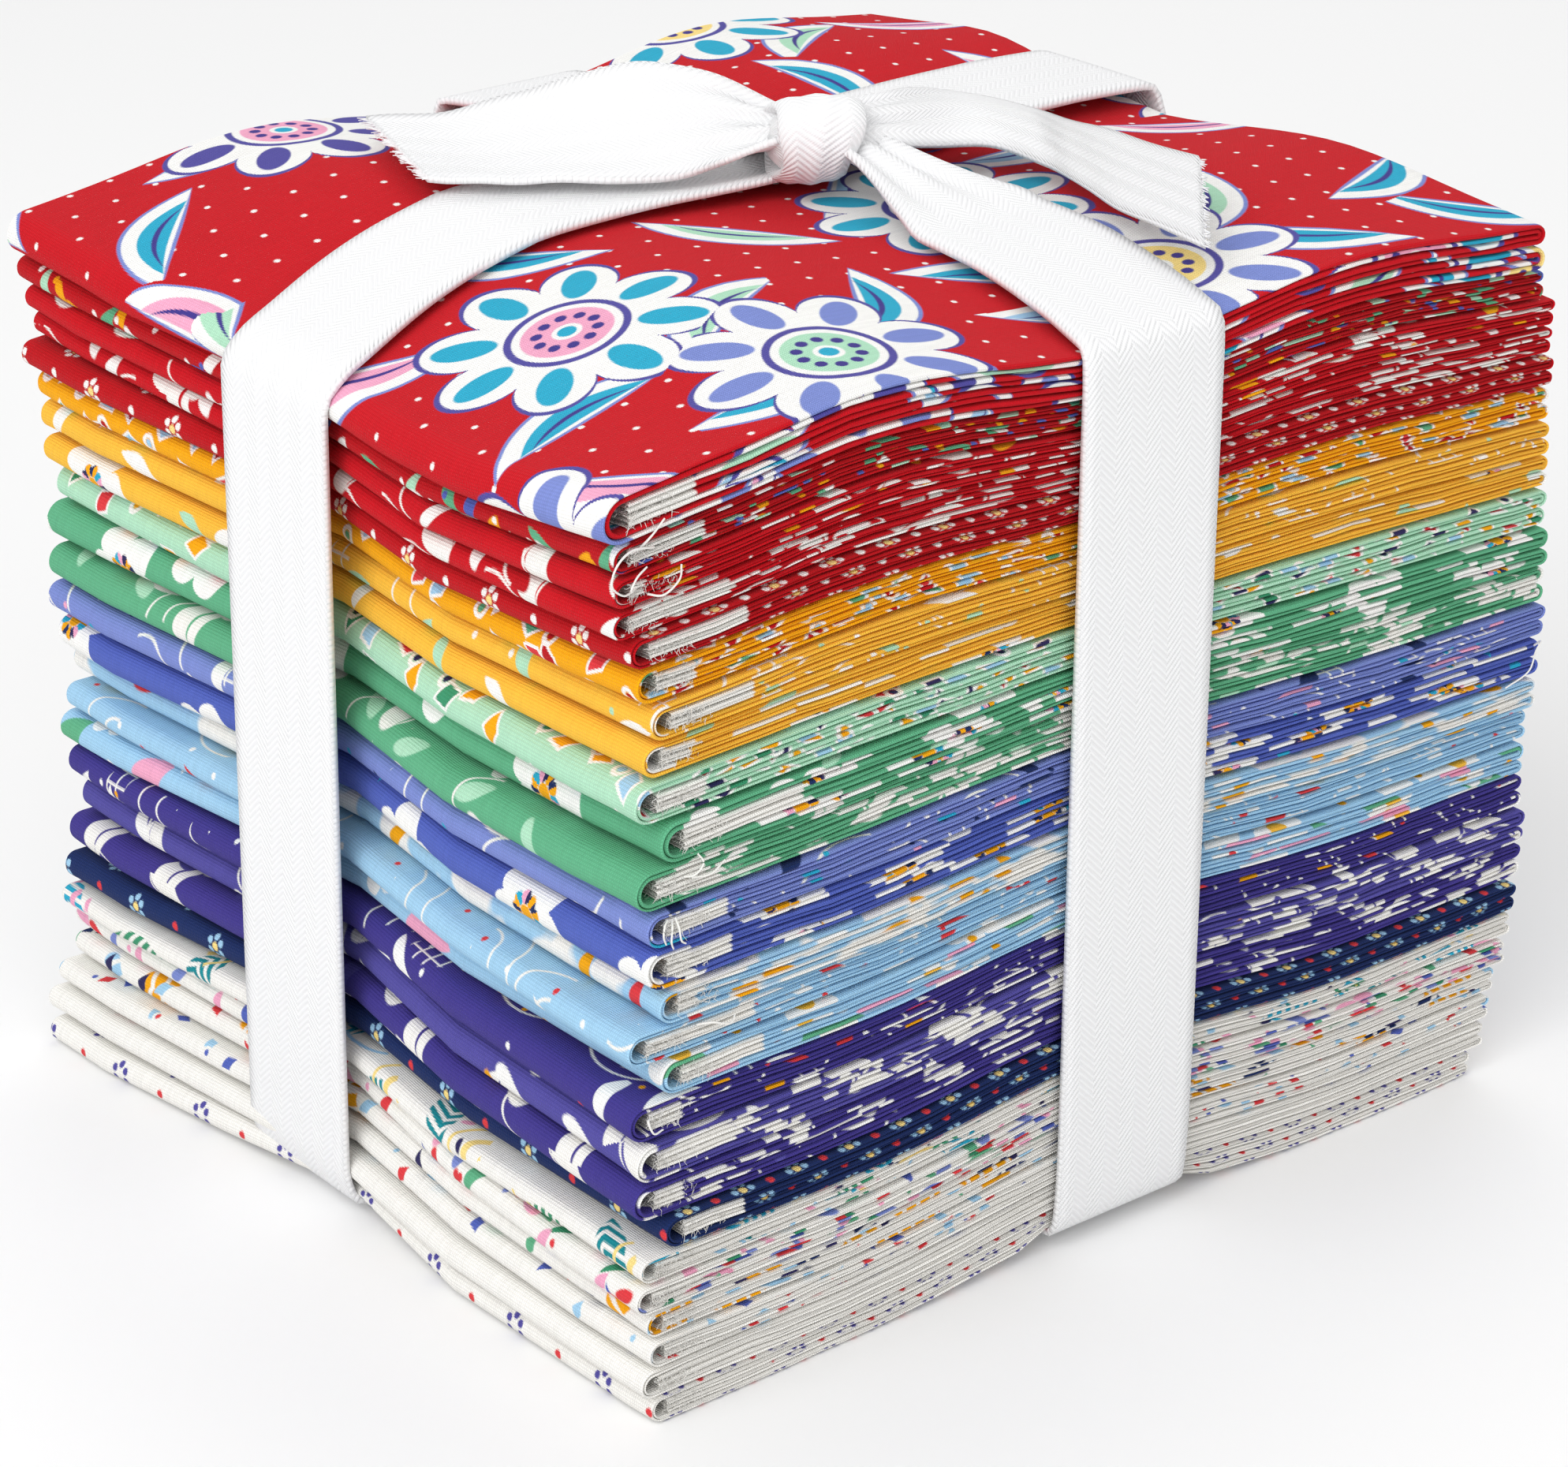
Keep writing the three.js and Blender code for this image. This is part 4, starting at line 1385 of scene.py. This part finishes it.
class BUNDLE_OT_tape(bpy.types.Operator):
    """Tie the tape round the stack"""

    bl_idname = "bundle.tape"
    bl_label = "Tie the tape"

    def execute(self, context):
        settings = context.scene.bundle_tape
        thick = settings.thickness
        cottons = [bpy.data.objects.get(f"cotton_{node}") for node in ROW_NAMES]
        if None in cottons:
            raise RuntimeError("fold the cottons before the tape is tied")
        points = np.concatenate([points_of(piece) for piece in cottons])
        long_grid, top = long_loop(points, thick)
        cross_grid = cross_loop(points, thick, top)
        base = top + thick / 2
        left = tail_grid(LEFT_TAIL, base, 60, 1.6, 3)
        right = tail_grid(RIGHT_TAIL, base, 80, 1.4, 4)
        shells = [
            thickened(long_grid, thick, closed=True),
            thickened(cross_grid, thick, closed=True),
            thickened(left, thick),
            thickened(right, thick),
        ]
        shells += knot_parts(base)
        shells += frayed_end(left, 21) + frayed_end(right, 22)
        piece = built("tape_tied", shells, herringbone(settings))
        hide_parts(TIE_NAME)
        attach(piece, "root")
        return {"FINISHED"}


def points_of(piece):
    """A piece's points, in millimetres."""
    flat = np.zeros(len(piece.data.vertices) * 3)
    piece.data.vertices.foreach_get("co", flat)
    return flat.reshape(-1, 3) / MM


class BUNDLE_OT_stage(bpy.types.Operator):
    """Add the floor, the lights and the camera"""

    bl_idname = "bundle.stage"
    bl_label = "Set the stage"

    def execute(self, context):
        settings = context.scene.bundle_stage
        scene = context.scene
        mesh = bpy.data.meshes.new("floor")
        corners = [(x * FLOOR_REACH, y * FLOOR_REACH, 0) for x, y in ((-1, -1), (1, -1), (1, 1), (-1, 1))]
        mesh.from_pydata(corners, [], [(0, 1, 2, 3)])
        floor = bpy.data.objects.new("floor", mesh)
        floor.location.z = -FLOOR_DROP
        shade = Shade("floor")
        shade.surface.inputs["Base Color"].default_value = (*settings.floor_colour, 1.0)
        shade.surface.inputs["Roughness"].default_value = 0.9
        mesh.materials.append(shade.material)
        scene.collection.objects.link(floor)

        world = bpy.data.worlds.new("pale room")
        world.use_nodes = True
        sky = world.node_tree.nodes["Background"]
        sky.inputs["Color"].default_value = (1.0, 1.0, 1.0, 1.0)
        sky.inputs["Strength"].default_value = SKY_STRENGTH * settings.brightness
        scene.world = world

        target = Vector(CAMERA_TARGET) * MM
        for name, (azimuth, elevation, distance, size, power) in LIGHTS.items():
            light = bpy.data.lights.new(name, "AREA")
            light.size = size
            light.energy = power * settings.brightness
            lamp = bpy.data.objects.new(name, light)
            lamp.location = target + seen_from(azimuth, elevation) * distance
            lamp.rotation_euler = (target - lamp.location).to_track_quat("-Z", "Y").to_euler()
            scene.collection.objects.link(lamp)

        camera_data = bpy.data.cameras.new("camera")
        camera_data.lens = CAMERA_LENS
        camera_data.sensor_width = 36.0
        camera_data.clip_start = 0.01
        camera = bpy.data.objects.new("camera", camera_data)
        camera.location = target + seen_from(CAMERA_AZIMUTH, CAMERA_ELEVATION) * CAMERA_DISTANCE * MM
        camera.rotation_euler = (target - camera.location).to_track_quat("-Z", "Y").to_euler()
        scene.collection.objects.link(camera)
        scene.camera = camera
        scene.view_settings.view_transform = "Standard"
        return {"FINISHED"}


def seen_from(azimuth, elevation):
    """The direction towards a viewer. Azimuth 0 looks along +Y."""
    a, e = math.radians(azimuth), math.radians(elevation)
    return Vector((math.sin(a) * math.cos(e), -math.cos(a) * math.cos(e), math.sin(e)))


class BUNDLE_PT_panel(bpy.types.Panel):
    """The bundle's steps in the sidebar"""

    bl_idname = "BUNDLE_PT_panel"
    bl_label = "Fat quarter bundle"
    bl_space_type = "VIEW_3D"
    bl_region_type = "UI"
    bl_category = "Bundle"

    def draw(self, context):
        column = self.layout.column()
        for group in ("bundle_cotton", "bundle_tape", "bundle_stage"):
            settings = getattr(context.scene, group)
            for name in settings.__annotations__:
                column.prop(settings, name)
        for step in STEPS:
            column.operator(step.bl_idname)


STEPS = (BUNDLE_OT_cottons, BUNDLE_OT_tape, BUNDLE_OT_stage)
CLASSES = (CottonSettings, TapeSettings, StageSettings, *STEPS, BUNDLE_PT_panel)
GROUPS = {
    "bundle_cotton": CottonSettings,
    "bundle_tape": TapeSettings,
    "bundle_stage": StageSettings,
}


def register():
    for kind in CLASSES:
        bpy.utils.register_class(kind)
    for name, kind in GROUPS.items():
        setattr(bpy.types.Scene, name, bpy.props.PointerProperty(type=kind))


def unregister():
    for name in GROUPS:
        delattr(bpy.types.Scene, name)
    for kind in reversed(CLASSES):
        bpy.utils.unregister_class(kind)


def main():
    register()
    bpy.ops.bundle.cottons()
    bpy.ops.bundle.tape()
    bpy.ops.bundle.stage()


if __name__ == "__main__":
    main()
